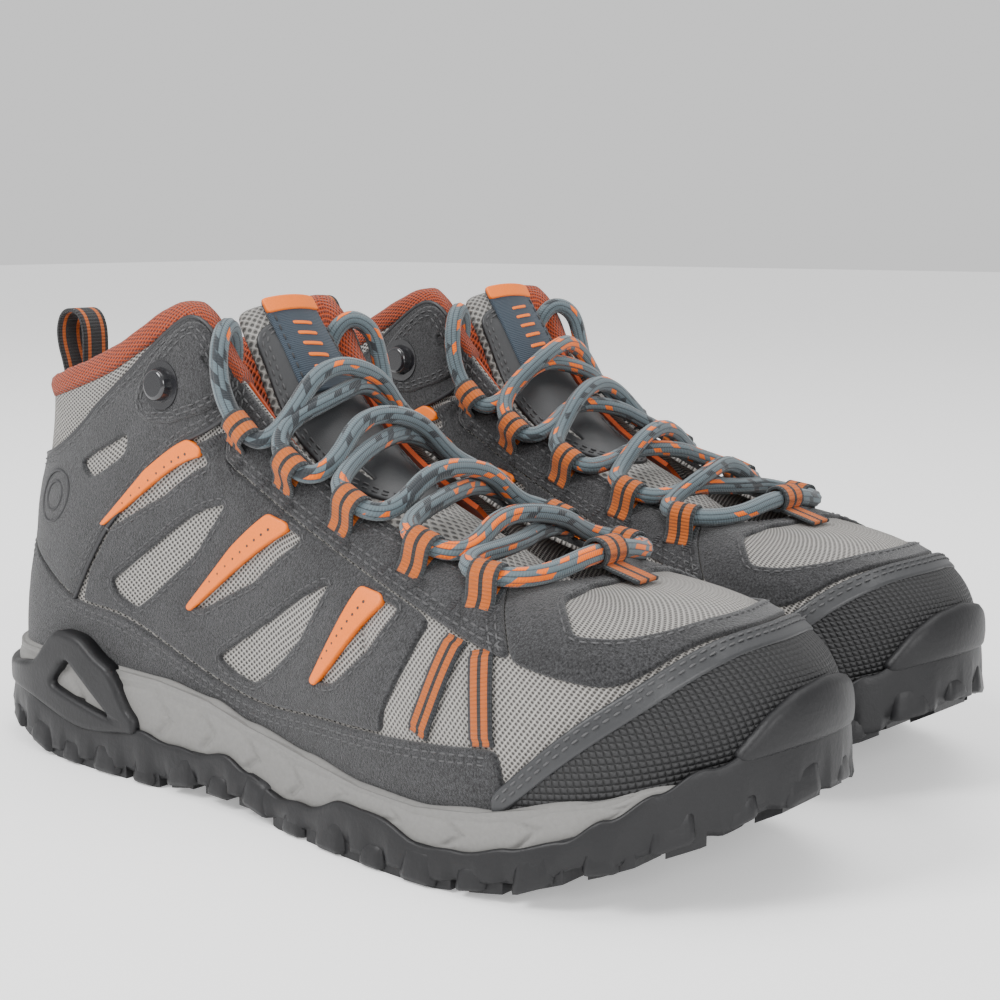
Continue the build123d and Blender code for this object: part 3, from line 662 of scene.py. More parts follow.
def tube(path, radius, sides=8, closed=False, ribs=0, depth=0.0, twist=0.0):
    """A round cord along a path, with ribs that wind round it where wanted."""
    p = np.asarray(path, float)
    t = unit(ahead(p, closed))
    up = np.array([0.0, 0.0, 1.0]) if abs(t[0][2]) < 0.9 else np.array([1.0, 0.0, 0.0])
    n = unit(np.cross(up, t[0]))
    s = travel(p) / MM
    ang = np.arange(sides) * 2 * math.pi / sides
    r = radius * (1 - depth * (0.5 - 0.5 * np.cos(ribs * ang))) if ribs else np.full(sides, radius)
    verts, uv = [], []
    for i in range(len(p)):
        n = unit(n - t[i] * (n @ t[i]))
        b = np.cross(t[i], n)
        a = ang + twist * s[i]
        verts.append(p[i] + np.cos(a)[:, None] * n * r[:, None] + np.sin(a)[:, None] * b * r[:, None])
        uv += [(k / sides, s[i]) for k in range(sides)]
    return np.concatenate(verts), rings(len(p), sides, closed), np.array(uv)


# ---- CAD pieces that keep their shape ---------------------------------------------------------------
KEPT = {"outsole": "rubber", "shank": "steel", "insole_board": "board", "footbed": "footbed",
        "heel_counter": "plastic", "toe_puff": "plastic", "collar_foam": "lining_foam",
        "collar_lining": "collar", "ankle_studs": "stud", "aglets": "aglet", "midsole": "foam"}
for node, look in KEPT.items():
    for side in SIDES:
        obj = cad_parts[f"{side}_{node}"]
        if not obj.material_slots:
            obj.data.materials.append(None)
        for s in obj.material_slots:
            s.link = "OBJECT"
            s.material = LOOK[look]


def stands_for(objs, node):
    for side, obj in zip(SIDES, objs):
        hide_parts(f"{side}_{node}")


def strip(start, end, low, high, n=60):
    """The outline of a band round the boot between two heights, each a number or a curve."""
    u = np.linspace(start, end, n)
    a, b = [g(u) if callable(g) else np.full(n, float(g)) for g in (low, high)]
    return np.concatenate([np.stack([u, a], 1), np.stack([u, b], 1)[::-1]])


def mirrored(outline):
    """The same outline on the boot's inner side."""
    return [(RING - a, b) for a, b in outline][::-1]


def flipped(outline):
    """The same outline past the middle line that its first number counts from."""
    return [(-a, b) for a, b in outline]


# ---- Upper: mesh shell -------------------------------------------------------------------------------
def shell(start, end, depth, nu, nt=34):
    """A closed wall on the last from its lower edge to its rim."""
    u = np.linspace(start, end, nu)[:, None]
    t = np.linspace(0, 1, nt)[None]
    uu, tt = np.broadcast_arrays(u, t)
    ab = np.stack([uu.ravel(), tt.ravel()], 1)
    a, b = [over(last, ab[:, 0], ab[:, 1], h) for h in (0, -depth)]
    uv = chart(last, ab, a)
    m = nu * nt
    idx = np.arange(m).reshape(nu, nt)
    quads = np.stack([idx[:-1, :-1], idx[1:, :-1], idx[1:, 1:], idx[:-1, 1:]], -1).reshape(-1, 4)
    faces = quads.tolist() + (quads[:, ::-1] + m).tolist()
    rim = np.concatenate([idx[:, 0], idx[-1, 1:], idx[::-1, -1][1:], idx[0, ::-1][1:-1]])
    faces += [[int(q), int(p), int(p) + m, int(q) + m] for p, q in zip(rim, np.roll(rim, -1))]
    return np.concatenate([a, b]), faces, np.concatenate([uv, uv])


VAMP_FROM, MESH_THICK = 7.2, 1.2
quarter = shell(-VAMP_FROM, VAMP_FROM, MESH_THICK, 150)
stands_for(both("quarter_shell", quarter, "mesh"), "quarter_mesh")
vamp_wall = shell(VAMP_FROM, RING - VAMP_FROM, MESH_THICK, 130)
stands_for(both("vamp_shell", vamp_wall, "mesh_fine"), "vamp_mesh")

cap_half = [(8.7, 0.1), (9.6, 0.29), (10.65, 0.44), (11.5, 0.53)]
cap_top = flow(cap_half + [(13, 0.585)] + mirrored(cap_half))
mud_side = [(2.0, 0.41), (2.9, 0.3), (3.5, 0.27), (4.3, 0.21), (5.45, 0.155), (6.6, 0.2), (8.6, 0.26)]
mud_top = flow(flipped(mud_side)[::-1] + mud_side)
stay_edge = flow([(4.9, 0.72), (5.8, 0.738), (6.7, 0.735), (7.5, 0.708), (8.1, 0.67), (9.2, 0.57)])
seams, dark_seams = [], []


def seam(surf, outline, lift, rows, dark=False, part=None):
    """Rows of stitches inside an outline, or along one part of it."""
    ab = outlined(outline, surf)
    for away in rows:
        path = inset(ab, surf, away)
        if part is not None:
            keep = part(ab[:, 0], ab[:, 1])
            if not keep.any():
                continue
            first = int(np.argmax(keep & ~np.roll(keep, 1)))
            path, flag = np.roll(path, -first, 0), np.roll(keep, -first)
            path = path[:int(np.argmin(flag)) if not flag.all() else len(flag)]
            if len(path) < 4:
                continue
        row = stitches(surf, path, lift, closed=part is None)
        if row is not None:
            (dark_seams if dark else seams).append(row)


# Lower suede band from the heel to the toe cap.
mud = strip(-8.9, 8.9, 0.0, mud_top, 110)
stands_for(both("mudguard", panel(last, mud, lift=0.1, thick=1.3, puff=0.5), "suede"), "mudguard")
seam(last, mud, 1.25, (2.0, 4.0), part=lambda a, b: (b > mud_top(a) - 0.03) & (np.abs(a) < 8.8))

# Heel and ankle suede: one piece round the heel, with a dark edge and a small mesh window each side.
low_edge = [(2.9, 0.3), (3.05, 0.39), (3.26, 0.491), (3.73, 0.604), (4.4, 0.709), (4.85, 0.82), (4.99, 0.91)]
top_edge = [(4.98, 0.985), (4.5, 1.0), (4.05, 0.985), (3.73, 0.945), (3.4, 0.905), (2.96, 0.86), (2.6, 0.79),
            (2.2, 0.745), (1.2, 0.72), (0.4, 0.715)]
half = low_edge + top_edge
JOIN = 0.008
bottom = [(a, float(mud_top(a)) + JOIN) for a in np.linspace(-2.8, 2.8, 40)]
heel = bottom + half + flipped(half)[::-1]
ankle_window = [(2.73, 0.69), (3.0, 0.71), (3.38, 0.722), (3.38, 0.668), (2.92, 0.632)]
suede = panel(last, heel, [ankle_window, flipped(ankle_window)], lift=0.1, thick=1.3, puff=0.7, rounds=4)
stands_for(both("heel_suede", suede, "suede"), "heel_backstay")
seam(last, heel, 1.3, (1.9, 3.6), part=lambda a, b: (b > mud_top(a) + 0.05) & (np.abs(a) > 1.2))
pipes = []
for sign in (-1, 1):
    for edge_path in (low_edge, top_edge[1:]):
        ab = soften(on_surface([(sign * a, b) for a, b in edge_path], last, 1.5, False), 14, False)
        pipes.append(tube(over(last, ab[:, 0], ab[:, 1], 0.9), 0.75))
both("heel_piping", join(pipes), "piping")
ring = []
for middle in (2.3, -2.3):
    a = np.linspace(0, 2 * math.pi, 48, endpoint=False)
    for r in (0.3, 0.17):
        ab = np.stack([middle + r * np.cos(a), 0.595 + r * 0.26 * np.sin(a)], 1)
        ring.append(tube(over(last, ab[:, 0], ab[:, 1], 2.0), 0.45, 6, closed=True))
both("heel_rings", join(ring), "piping")

# Side panel with its long mesh windows.
field = [(a, float(mud_top(a)) + JOIN) for a in np.linspace(3.05, 7.35, 50)]
field += [(7.4, 0.3), (7.85, 0.481), (8.2, 0.633)]
field += [(a, float(stay_edge(a)) - JOIN) for a in np.linspace(8.1, 4.95, 40)]
field += [(4.9, 0.8), (4.45, 0.7), (3.78, 0.595), (3.31, 0.484), (3.1, 0.385)]
side_windows = [
    [(4.96, 0.615), (4.6, 0.56), (3.96, 0.445), (3.42, 0.355), (3.52, 0.318), (3.78, 0.288), (4.0, 0.33),
     (4.52, 0.448)],
    [(6.75, 0.61), (6.3, 0.52), (5.75, 0.398), (4.98, 0.235), (5.2, 0.212), (5.5, 0.205), (5.75, 0.26),
     (6.25, 0.4)],
    [(3.25, 0.502), (3.75, 0.585), (4.4, 0.672), (4.6, 0.666), (3.94, 0.544), (3.35, 0.492)],
    [(4.56, 0.33), (5.25, 0.51), (5.95, 0.69), (6.31, 0.693), (5.49, 0.472), (4.72, 0.337)],
    [(6.46, 0.3), (7.0, 0.49), (7.45, 0.648), (7.78, 0.642), (7.31, 0.471), (6.7, 0.318)],
]
panels = []
for outline, holes in ((field, side_windows), (mirrored(field), [mirrored(h) for h in side_windows])):
    panels.append(panel(last, outline, holes, lift=0.1, thick=1.25, puff=0.7, grid=2.8, rounds=2))
    for h in holes:
        seams.append(stitches(last, inset(outlined(h, last)[::-1], last, 2.0), 1.3, closed=True))
stands_for(both("quarter_overlay", join(panels), "suede"), "quarter_overlays")

# Eyestay along the throat.
stay = strip(4.9, 9.3, stay_edge, 0.99, 80)
panels = []
for outline in (stay, mirrored(stay)):
    panels.append(panel(last, outline, lift=0.3, thick=1.5, puff=0.8))
    seam(last, outline, 1.75, (2.0, 4.2))
stands_for(both("eyestay", join(panels), "suede"), "eyestay")

# Ankle flap with its round top.
flap = [(4.9, 0.9), (4.9, 0.97), (4.6, 0.995), (4.2, 0.982), (3.9, 0.945), (3.62, 0.89), (3.45, 0.835),
        (3.45, 0.77), (3.62, 0.715), (3.95, 0.7), (4.3, 0.74), (4.62, 0.81)]
slot_hole = [(4.28, 0.9), (4.5, 0.925), (4.7, 0.92), (4.68, 0.895), (4.5, 0.895), (4.3, 0.875)]
panels = []
for outline, hole in ((flap, slot_hole), (mirrored(flap), mirrored(slot_hole))):
    panels.append(panel(last, outline, [hole], lift=1.3, thick=1.3, puff=0.4, rounds=6))
    seam(last, outline, 2.6, (1.8, 3.4))
stands_for(both("ankle_flap", join(panels), "suede"), "ankle_panels")

# Forefoot: overlay round the mesh window on top, then the textured toe cap.
arm_half = [(9.3, 0.56), (9.9, 0.5), (10.5, 0.47), (11, 0.51), (11.5, 0.56)]
arm = flow(arm_half + [(13, 0.61)] + mirrored(arm_half))
vamp = strip(9.32, RING - 9.32, arm, 0.985, 110)
window_low = [(10.3, 0.66), (10.9, 0.645), (11.6, 0.655), (12.4, 0.68)]
window_high = [(15.6, 0.84), (14.6, 0.93), (13, 0.95), (11.4, 0.93), (10.4, 0.84)]
window = window_low + [(13, 0.685)] + mirrored(window_low) + window_high
vamp_panel = panel(last, vamp, [window], lift=0.1, thick=1.3, puff=0.5, grid=2.4)
stands_for(both("vamp_overlay", vamp_panel, "suede"), "vamp_overlay")
seams.append(stitches(last, inset(outlined(window, last)[::-1], last, 1.8), 1.3, closed=True))

cap = strip(8.72, RING - 8.72, 0.05, cap_top, 120)
cap_panel = panel(last, cap, lift=0.1, thick=2.0, edge=1.2, puff=0.4, grid=2.2)
stands_for(both("toe_cap", cap_panel, "cap"), "toe_cap")
rim_band = strip(8.75, RING - 8.75, lambda u: cap_top(u) - 0.075, lambda u: cap_top(u) + 0.008, 120)
band_panel = panel(last, rim_band, lift=1.4, thick=1.4, grid=2.6, pinch=0.3)
both("toe_cap_band", band_panel, "patch")
seam(last, rim_band, 2.75, (1.5, 3.2), part=lambda a, b: b > cap_top(a) - 0.02)

bumper = [(11.5, 0.13), (14.5, 0.13), (14.6, 0.17), (14.1, 0.27), (13.6, 0.325), (13, 0.345), (12.4, 0.325),
          (11.9, 0.27), (11.4, 0.17)]
bumper_panel = panel(last, bumper, lift=2.0, thick=3.2, edge=2.2, puff=0.4, pinch=0, step=1.2, grid=2.2)
stands_for(both("toe_bumper", bumper_panel, "rubber"), "toe_bumper")

# Orange spikes with punched dots, and the striped straps at the forefoot.
spikes = [
    [(3.18, 0.502), (3.22, 0.494), (4.44, 0.662), (4.44, 0.682), (4.19, 0.678), (3.66, 0.607)],
    [(4.48, 0.325), (4.54, 0.316), (6.08, 0.685), (6.08, 0.71), (5.73, 0.69), (5.12, 0.524)],
    [(6.37, 0.296), (6.44, 0.287), (7.57, 0.638), (7.55, 0.668), (7.25, 0.662), (6.85, 0.493)],
]
films, dots = [], []
for spike in spikes:
    for flip in (False, True):
        outline = mirrored(spike) if flip else spike
        films.append(panel(last, outline, lift=1.3, thick=0.9, edge=0.6, pinch=0, step=0.9, grid=2.4,
                           rounds=2, under=1.2))
        a, b = np.array(spike[0]), np.array(spike[2]) * 0.45 + np.array(spike[4]) * 0.55
        for f in np.linspace(0.25, 0.92, 9):
            q = a + (b - a) * f
            u, t = (RING - q[0] if flip else q[0]), q[1]
            c = over(last, [u], [t - 0.012 * f], [2.25])
            ang = np.arange(8) * math.pi / 4
            pa, pb, n = basis(last, np.array([u]), np.array([t]))
            e1 = unit(pa)
            e2 = np.cross(n, e1)
            top = c + 0.42 * (np.cos(ang)[:, None] * e1 + np.sin(ang)[:, None] * e2) * (0.6 + 0.6 * f)
            dots.append((np.concatenate([top, top - n * 0.6]), [list(range(8)), list(range(15, 7, -1))] +
                         [[k, k + 8, (k + 1) % 8 + 8, (k + 1) % 8] for k in range(8)], None))
stands_for(both("orange_spike", join(films), "orange"), "orange_overlays")
both("spike_dots", join(dots), "piping")

straps = []
for low, high in (((7.86, 0.262), (8.6, 0.615)), ((8.72, 0.268), (8.94, 0.59))):
    for flip in (False, True):
        ends = [(RING - a, b) if flip else (a, b) for a, b in (low, high)]
        ab = on_surface(ends, last, 1.2, False)
        lift = np.full(len(ab), 1.2)
        lift[:2] = lift[-2:] = 0.5
        path = over(last, ab[:, 0], ab[:, 1], lift)
        n = basis(last, ab[:, 0], ab[:, 1])[2]
        straps.append(swept(path, np.cross(n, np.gradient(path, axis=0)), 7.4, 1.2))
stands_for(both("side_strap", join(straps), "strap"), "side_webbing")

# ---- Padded collar, rust mesh, over the rim and down inside -----------------------------------------
def collar_roll():
    """A closed roll over the rim; each place in its section is a height over the last and a depth."""
    section = [(0.2, 7), (0.9, 4), (1.2, 1), (0.7, -1.4), (-1.0, -2.7), (-3.4, -2.9), (-5.6, -1.6),
               (-6.9, 1.5), (-7.4, 6), (-7.2, 12), (-6.6, 19), (-5.8, 26), (-5.1, 32), (-4.2, 33), (-3.6, 26),
               (-3.2, 10), (-1.2, 6)]
    u = np.linspace(-5.05, 5.05, 150)
    top = last(u, 1.0)
    pa, pb, n = basis(last, u, np.full(len(u), 0.995))
    up = unit(pb)
    arc = np.interp(u, AROUND, ARC)
    soft = 1 + 0.05 * np.sin(u * 9) + 0.04 * np.sin(u * 23 + 1)
    rows, uv = [], []
    for k, (h, d) in enumerate(section):
        if d > 0:
            p = over(last, u, 1 - d / 118, h * (soft if h < -2 else 1))
        else:
            p = top + n * h - up * d * soft[:, None]
        rows.append(p)
        uv.append(np.stack([arc, np.full(len(u), 4.5 * (k + 1))], 1) / MM)
    m = len(u)
    idx = np.arange(m * len(section)).reshape(len(section), m)
    faces = []
    for k in range(len(section)):
        a, b = idx[k], idx[(k + 1) % len(section)]
        faces += [[a[i], b[i], b[i + 1], a[i + 1]] for i in range(m - 1)]
    faces += [idx[::-1, 0].tolist(), idx[:, -1].tolist()]
    return np.concatenate(rows), [[int(i) for i in f] for f in faces], np.concatenate(uv)


collars = both("collar_roll", collar_roll(), "collar")
stands_for(collars, "collar_foam")

# ---- Tongue -------------------------------------------------------------------------------------------
edge_line = [(-0.1, -0.75), (0.0, -0.95), (0.4, -1.0), (3.0, -1.0), (6.9, -1.0), (6.9, 1.0), (3.0, 1.0),
             (0.4, 1.0), (0.0, 0.95), (-0.1, 0.75), (-0.18, 0.3), (-0.18, -0.3)]
pad = panel(tongue, edge_line, lift=-4.0, thick=3.9, edge=2.6, puff=0.5, pinch=0, rounds=5, under=0.8,
            grid=3.0)
pads = both("tongue_pad", pad, "tongue_mesh")
stands_for(pads, "tongue")
patch_half = [(0.5, -0.45), (0.62, -0.74), (0.8, -0.82), (2.4, -0.84), (3.3, -0.8), (3.9, -0.6), (4.3, -0.28)]
patch_line = patch_half + [(4.38, 0)] + [(a, -b) for a, b in patch_half[::-1]]
slits = [[(3.0, -0.48), (3.06, -0.48), (3.62, -0.42), (3.56, -0.38), (3.0, -0.42)]]
slits.append([(a, -b) for a, b in slits[0]][::-1])
patch = panel(tongue, patch_line, slits, lift=0.1, thick=1.1, pinch=0.3, puff=0.5)
stands_for(both("tongue_patch", patch, "patch"), "tongue_patch")
seam(tongue, patch_line, 1.15, (1.6, 3.0))
label = [(-0.1, -0.46), (1.8, -0.46), (1.8, 0.46), (-0.1, 0.46)]
tape = panel(tongue, label, lift=1.2, thick=1.1, edge=0.5, pinch=0.15, step=1.0, grid=2.4, rounds=1)
stands_for(both("tongue_label", tape, "label"), "tongue_label")
seam(tongue, label, 2.25, (1.6,), dark=True, part=lambda a, b: np.abs(b) > 0.4)
tab = [(-0.14, -0.47), (0.36, -0.47), (0.36, 0.47), (-0.14, 0.47)]
tab_film = panel(tongue, tab, lift=2.0, thick=0.9, edge=0.4, pinch=0, step=1.0, grid=2.4, rounds=1)
both("tongue_tab", tab_film, "orange")
bars = [panel(tongue, [(s, -0.16), (s + 0.06, -0.16), (s + 0.1, 0.16), (s + 0.04, 0.16)], lift=2.2,
              thick=0.35, edge=0.2, pinch=0, step=0.6, grid=1.5, rounds=1) for s in (0.6, 0.8, 1.0, 1.2, 1.4)]
both("tongue_marks", join(bars), "orange")

# ---- Laces --------------------------------------------------------------------------------------------
LACE = [
    (104, -19, 100), (104.5, -20, 112.5), (106, -21, 125), (108, -21, 137), (111, -26.5, 143.5),
    (114.5, -34, 139.5), (116, -36.5, 128.5), (119.5, -35.5, 117.5), (129, -35, 109),
    (133, -27.5, 112.5), (133.5, -10, 132), (137.5, 10, 128), (132.5, 26, 115), (137, 33.5, 107),
    (147.5, 33.5, 100), (152, 26, 103), (149, 10, 111), (153, -10, 108.5), (154.5, -24, 102),
    (159, -32, 97.5), (170.5, -32, 92.5), (175, -24.5, 93), (176, -10, 103.5), (180, 10, 102),
    (180, 24.5, 90.5), (184.5, 32, 88), (196.5, 32, 84.5), (201.5, 24.5, 84.5), (201, 10, 86.5),
    (206, -10, 84.5), (203.5, -28, 83), (208.5, -34.5, 81), (221, -33, 80), (227, -23, 80.5),
    (229.5, -8, 84), (229.5, 8, 84), (227, 23, 80.5), (220, 33, 80), (208, 34.5, 81), (203, 27.5, 83),
    (206, 10, 91), (201, -10, 93), (202, -24.5, 84.5), (197, -32, 84.5), (185, -32, 88),
    (180, -24.5, 91), (180, -10, 95.5), (176, 10, 97), (175, 25, 92.5), (170.5, 32, 92),
    (159, 32, 97.5), (154.5, 24.5, 102), (153, 10, 115.5), (149, -10, 117.5), (152, -26, 103.5),
    (148, -33.5, 100.5), (137, -33.5, 107), (133, -26, 115), (137.5, -10, 121.5), (133.5, 10, 125.5),
    (132.5, 27, 112), (129, 35, 109), (119.5, 35.5, 117), (116, 36.5, 128.5), (114.5, 34, 139.5),
    (111, 26.5, 143.5), (108, 21, 137), (106, 21, 125), (104.5, 20, 112.5), (104, 19, 100),
]


def smooth_route(points):
    """The line of a NURBS spline through a cord's route."""
    data = bpy.data.curves.new("route", "CURVE")
    data.dimensions = "3D"
    data.resolution_u = 10
    spline = data.splines.new("NURBS")
    spline.points.add(len(points) - 1)
    for p, q in zip(spline.points, points):
        p.co = (*q, 1)
    spline.order_u = 3
    spline.use_endpoint_u = True
    obj = bpy.data.objects.new("route", data)
    bpy.context.scene.collection.objects.link(obj)
    bpy.context.view_layer.update()
    mesh = bpy.data.meshes.new_from_object(obj.evaluated_get(bpy.context.evaluated_depsgraph_get()))
    line_points = np.array([v.co[:] for v in mesh.vertices])
    bpy.data.objects.remove(obj)
    bpy.data.meshes.remove(mesh)
    return line_points


route = even(smooth_route(LACE), 1.0, closed=False)
fine = even(route, 0.9, closed=False)
lace_mesh = tube(fine, 2.85, 40, ribs=10, depth=0.09, twist=6.0)
laces = both("lace_cord", lace_mesh, "lace")
stands_for(laces, "lace")
for side, obj in zip(SIDES, laces):
    path = [tuple(p) for p in to_row(route, side)]

# ---- Lace loops: striped webbing folded round the lace, both ends under the eyestay ------------------
LOOPS = [(5.3, 0.875), (6.12, 0.91), (7.0, 0.93), (8.0, 0.915), (9.05, 0.86)]
ACROSS = (0, 1, 0)
tangents = unit(np.gradient(route, axis=0))
bands, tacks = [], []
for u, t in LOOPS:
    for a in (u, RING - u):
        seat = over(last, [a], [t], [6.3])[0]
        i = int(np.argmin(np.linalg.norm(route - seat, axis=1)))
        c, T = route[i], tangents[i]
        pa, pb, n = basis(last, np.array([a]), np.array([t]))
        down = unit(-pb[0])
        n = unit(n[0] - T * (n[0] @ T))
        b = unit(down - T * (down @ T) - n * (down @ n))
        gap = float((c - last(np.array(a), np.array(t))) @ n)
        spots = [(8.2, -gap + 0.2), (6.6, -gap + 1.3), (5.3, -gap + 2.9), (4.2, -0.4), (3.0, 2.4), (0, 3.75),
                 (-2.7, 2.6), (-3.75, 0), (-2.7, -2.7), (0, -3.6), (3.6, -gap + 1.7), (6.0, -gap + 0.5),
                 (8.2, -gap - 0.6)]
        pts = np.array([c + b * x + n * y for x, y in spots])
        pts = even(smooth_route([tuple(p) for p in pts]), 0.9, closed=False)
        bands.append(swept(pts, T, 9.5, 1.0))
        for s in (-1, 1):
            for k in range(5):
                p0 = c + b * (8.4 + k * 1.1) + n * (-gap + 2.35) + T * s * 5.6
                tacks.append(tube(np.array([p0 - T * 0.9, p0 + n * 0.25, p0 + T * 0.9]), 0.32, 6))
mid = route[int(np.argmin(np.linalg.norm(route - np.array([229.5, 0, 84]), axis=1)))]
w = np.linspace(0, 2 * math.pi, 24, endpoint=False)
ring = mid + np.stack([np.cos(w) * 3.9, w * 0, np.sin(w) * 3.8], 1)
bands.append(swept(ring, ACROSS, 10.5, 1.1, closed=True))
flap_path = np.array([mid + np.array(p) for p in ((2.4, 0, -3.4), (5, 0, -4.2), (9, 0, -5.2), (14, 0, -6.6))])
flap_path = even(smooth_route([tuple(p) for p in flap_path]), 1.2, closed=False)
bands.append(swept(flap_path, ACROSS, 10.5, 1.1))
stands_for(both("lace_webbing", join(bands), "loop"), "lace_loops")
both("loop_tacks", join(tacks), "dark_stitch")

# ---- Heel pull ----------------------------------------------------------------------------------------
outer = over(last, np.zeros(3), np.array([0.95, 0.88, 0.80]), np.array([2.6, 3.0, 2.2]))
pull = [(21.0, 0, 110), (20.6, 0, 118), (18.6, 0, 124.5), (19.0, 0, 131), (18.9, 0, 138), (16.5, 0, 142.6),
        (12.2, 0, 144), (7.6, 0, 142.4), (5.4, 0, 137), (6.2, 0, 131), (8.4, 0, 125.5)]
pull = even(smooth_route(pull + [tuple(p) for p in outer]), 1.0, closed=False)
pulls = both("heel_loop", swept(pull, ACROSS, 11.0, 1.3), "pull", body=None)
stands_for(pulls, "heel_pull")
for side, obj in zip(SIDES, pulls):
    a, b = to_row([(13, 0, 121), (13, 0, 132)], side)
    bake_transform(obj)

# ---- Sole ---------------------------------------------------------------------------------------------
# Heights along the boot: the tread's underside, the rubber's upper edge and the midsole's upper edge.
ground = line([(-9, 16), (8, 9), (24, 4), (42, 0.3), (60, 0), (92, 0), (108, 3), (138, 3), (150, 0), (186, 0),
               (215, 0), (238, 3), (262, 11), (281, 18.5), (292, 24.5), (300, 29)])
rubber = line([(-9, 24), (20, 20), (60, 13), (84, 16), (99, 14), (125, 15.5), (136, 13), (151, 9.5), (163, 9),
               (179, 15), (189, 15), (208, 11), (223, 11), (238, 14), (252, 19.5), (262, 24.5), (272, 32),
               (281, 39), (290, 43.5), (300, 46)])
feather = line([(-9, 33), (30, 34), (66, 34), (92, 33.5), (115, 31), (133, 27), (159, 23.5), (185, 20.5),
                (207, 20), (228, 22.5), (257, 29), (275, 34), (287, 37.5), (300, 39)])


def around(profile, count=640):
    """A closed ring round the sole: profile gives (offset, height) pairs at each place."""
    u = np.arange(count) * RING / count
    base = sole_side(0)(u, 0.0)
    out = sole_side(1)(u, 0.0) - base
    arc = travel(base)
    offs, zs = profile(base[:, 0] + out[:, 0] * 5, arc)
    m = offs.shape[0]
    p = base[None] + out[None] * offs[..., None]
    p[..., 2] = zs
    idx = np.arange(m * count).reshape(m, count)
    nxt, up = np.roll(idx, -1, 1), np.roll(idx, -1, 0)
    faces = np.stack([idx, nxt, np.roll(up, -1, 1), up], -1).reshape(-1, 4).tolist()
    uv = np.stack([np.broadcast_to(arc, zs.shape).ravel(), zs.ravel()], 1) / MM
    return p.reshape(-1, 3), faces, uv


def midsole_profile(x, arc):
    """The foam's wall: bulging, with a groove along it and slanted marks pressed in."""
    g, r, f = ground(x), rubber(x), feather(x)
    low = np.maximum(r - 5, g + 6)
    high = np.maximum(f + 0.5, low + 3)
    t = np.linspace(0, 1, 26)[:, None]
    z = low + (high - low) * t
    tall = np.clip((high - r - 7) / 6, 0, 1)
    off = 5.0 + 0.7 * np.sin(math.pi * t) - 2.0 * np.clip((t - 0.86) / 0.14, 0, 1) ** 2
    rel = (z - r) / np.maximum(high - r, 4)
    off = off - 0.7 * np.exp(-((rel - 0.78) / 0.06) ** 2)
    saw = np.abs(((arc / 21 + np.abs(rel - 0.4) * 0.8) % 1) - 0.5)
    mark = np.clip(1 - saw / 0.075, 0, 1) * np.clip((0.34 - np.abs(rel - 0.4)) / 0.05, 0, 1)
    off = off - 1.25 * np.sqrt(mark) * (0.35 + 0.65 * tall)
    close = [(off[-1] - 0.7, high + 0.15), (1.6 + 0 * x, high - 0.1), (1.6 + 0 * x, low), (3.4 + 0 * x, low)]
    return [np.concatenate([wall, ends]) for wall, ends in zip((off, z), zip(*close))]


both("midsole_skin", around(midsole_profile), "foam")


def rubber_profile(x, arc):
    """The rubber's wall: a wavy upper lip, and bites between the lugs below."""
    g, r = ground(x), rubber(x)
    r = r + 0.5 * np.sin(arc / 5.5) + 0.4 * np.sin(arc / 3.1)
    low = g + 3.0
    t = np.linspace(0, 1, 9)[:, None]
    z = low + (r - low) * t
    bite = 1.6 * np.clip(np.sin(arc / 14.5 * 2 * math.pi) * 2.5, -1, 1)
    off = 7.2 + 0.5 * np.sin(math.pi * t) + bite * (1 - t) ** 2 * 0.6
    rows = [(off[k] + 0 * x, z[k]) for k in range(9)]
    lip = ((6.9, r + 0.55), (6.2, r + 0.7), (5.3, r + 0.3), (4.2, r - 0.5), (4.2, low))
    rows += [(a + 0 * x, b) for a, b in lip]
    return [np.array(row) for row in zip(*rows)]


both("outsole_wall", around(rubber_profile), "rubber")


def block_template(n):
    """A cube's outer grid, -1 to 1, as points and quads."""
    verts, faces, index = [], [], {}
    s = np.linspace(-1, 1, n + 1)

    def vid(p):
        key = tuple(round(float(v), 4) for v in p)
        if key not in index:
            index[key] = len(verts)
            verts.append(key)
        return index[key]
    for axis in range(3):
        for sign in (-1, 1):
            for i in range(n):
                for j in range(n):
                    quad = []
                    for di, dj in ((0, 0), (1, 0), (1, 1), (0, 1)):
                        p = [0, 0, 0]
                        p[axis] = sign
                        p[(axis + 1) % 3] = s[i + di]
                        p[(axis + 2) % 3] = s[j + dj]
                        quad.append(vid(p))
                    faces.append(quad if sign > 0 else quad[::-1])
    return np.array(verts), faces


CUBE, CUBE_FACES = block_template(5)


def block(centre, ex, ey, ez, size, radius, taper):
    """A round-edged block, narrower towards one end."""
    half = np.array(size) / 2
    p = CUBE * half
    core = np.clip(p, -(half - radius), half - radius)
    d = p - core
    p = core + radius * d / np.maximum(np.linalg.norm(d, axis=1, keepdims=True), 1e-9)
    p[:, :2] *= (1 + taper * p[:, 2:] / half[2])
    return centre + p[:, :1] * ex + p[:, 1:2] * ey + p[:, 2:] * ez, CUBE_FACES, None


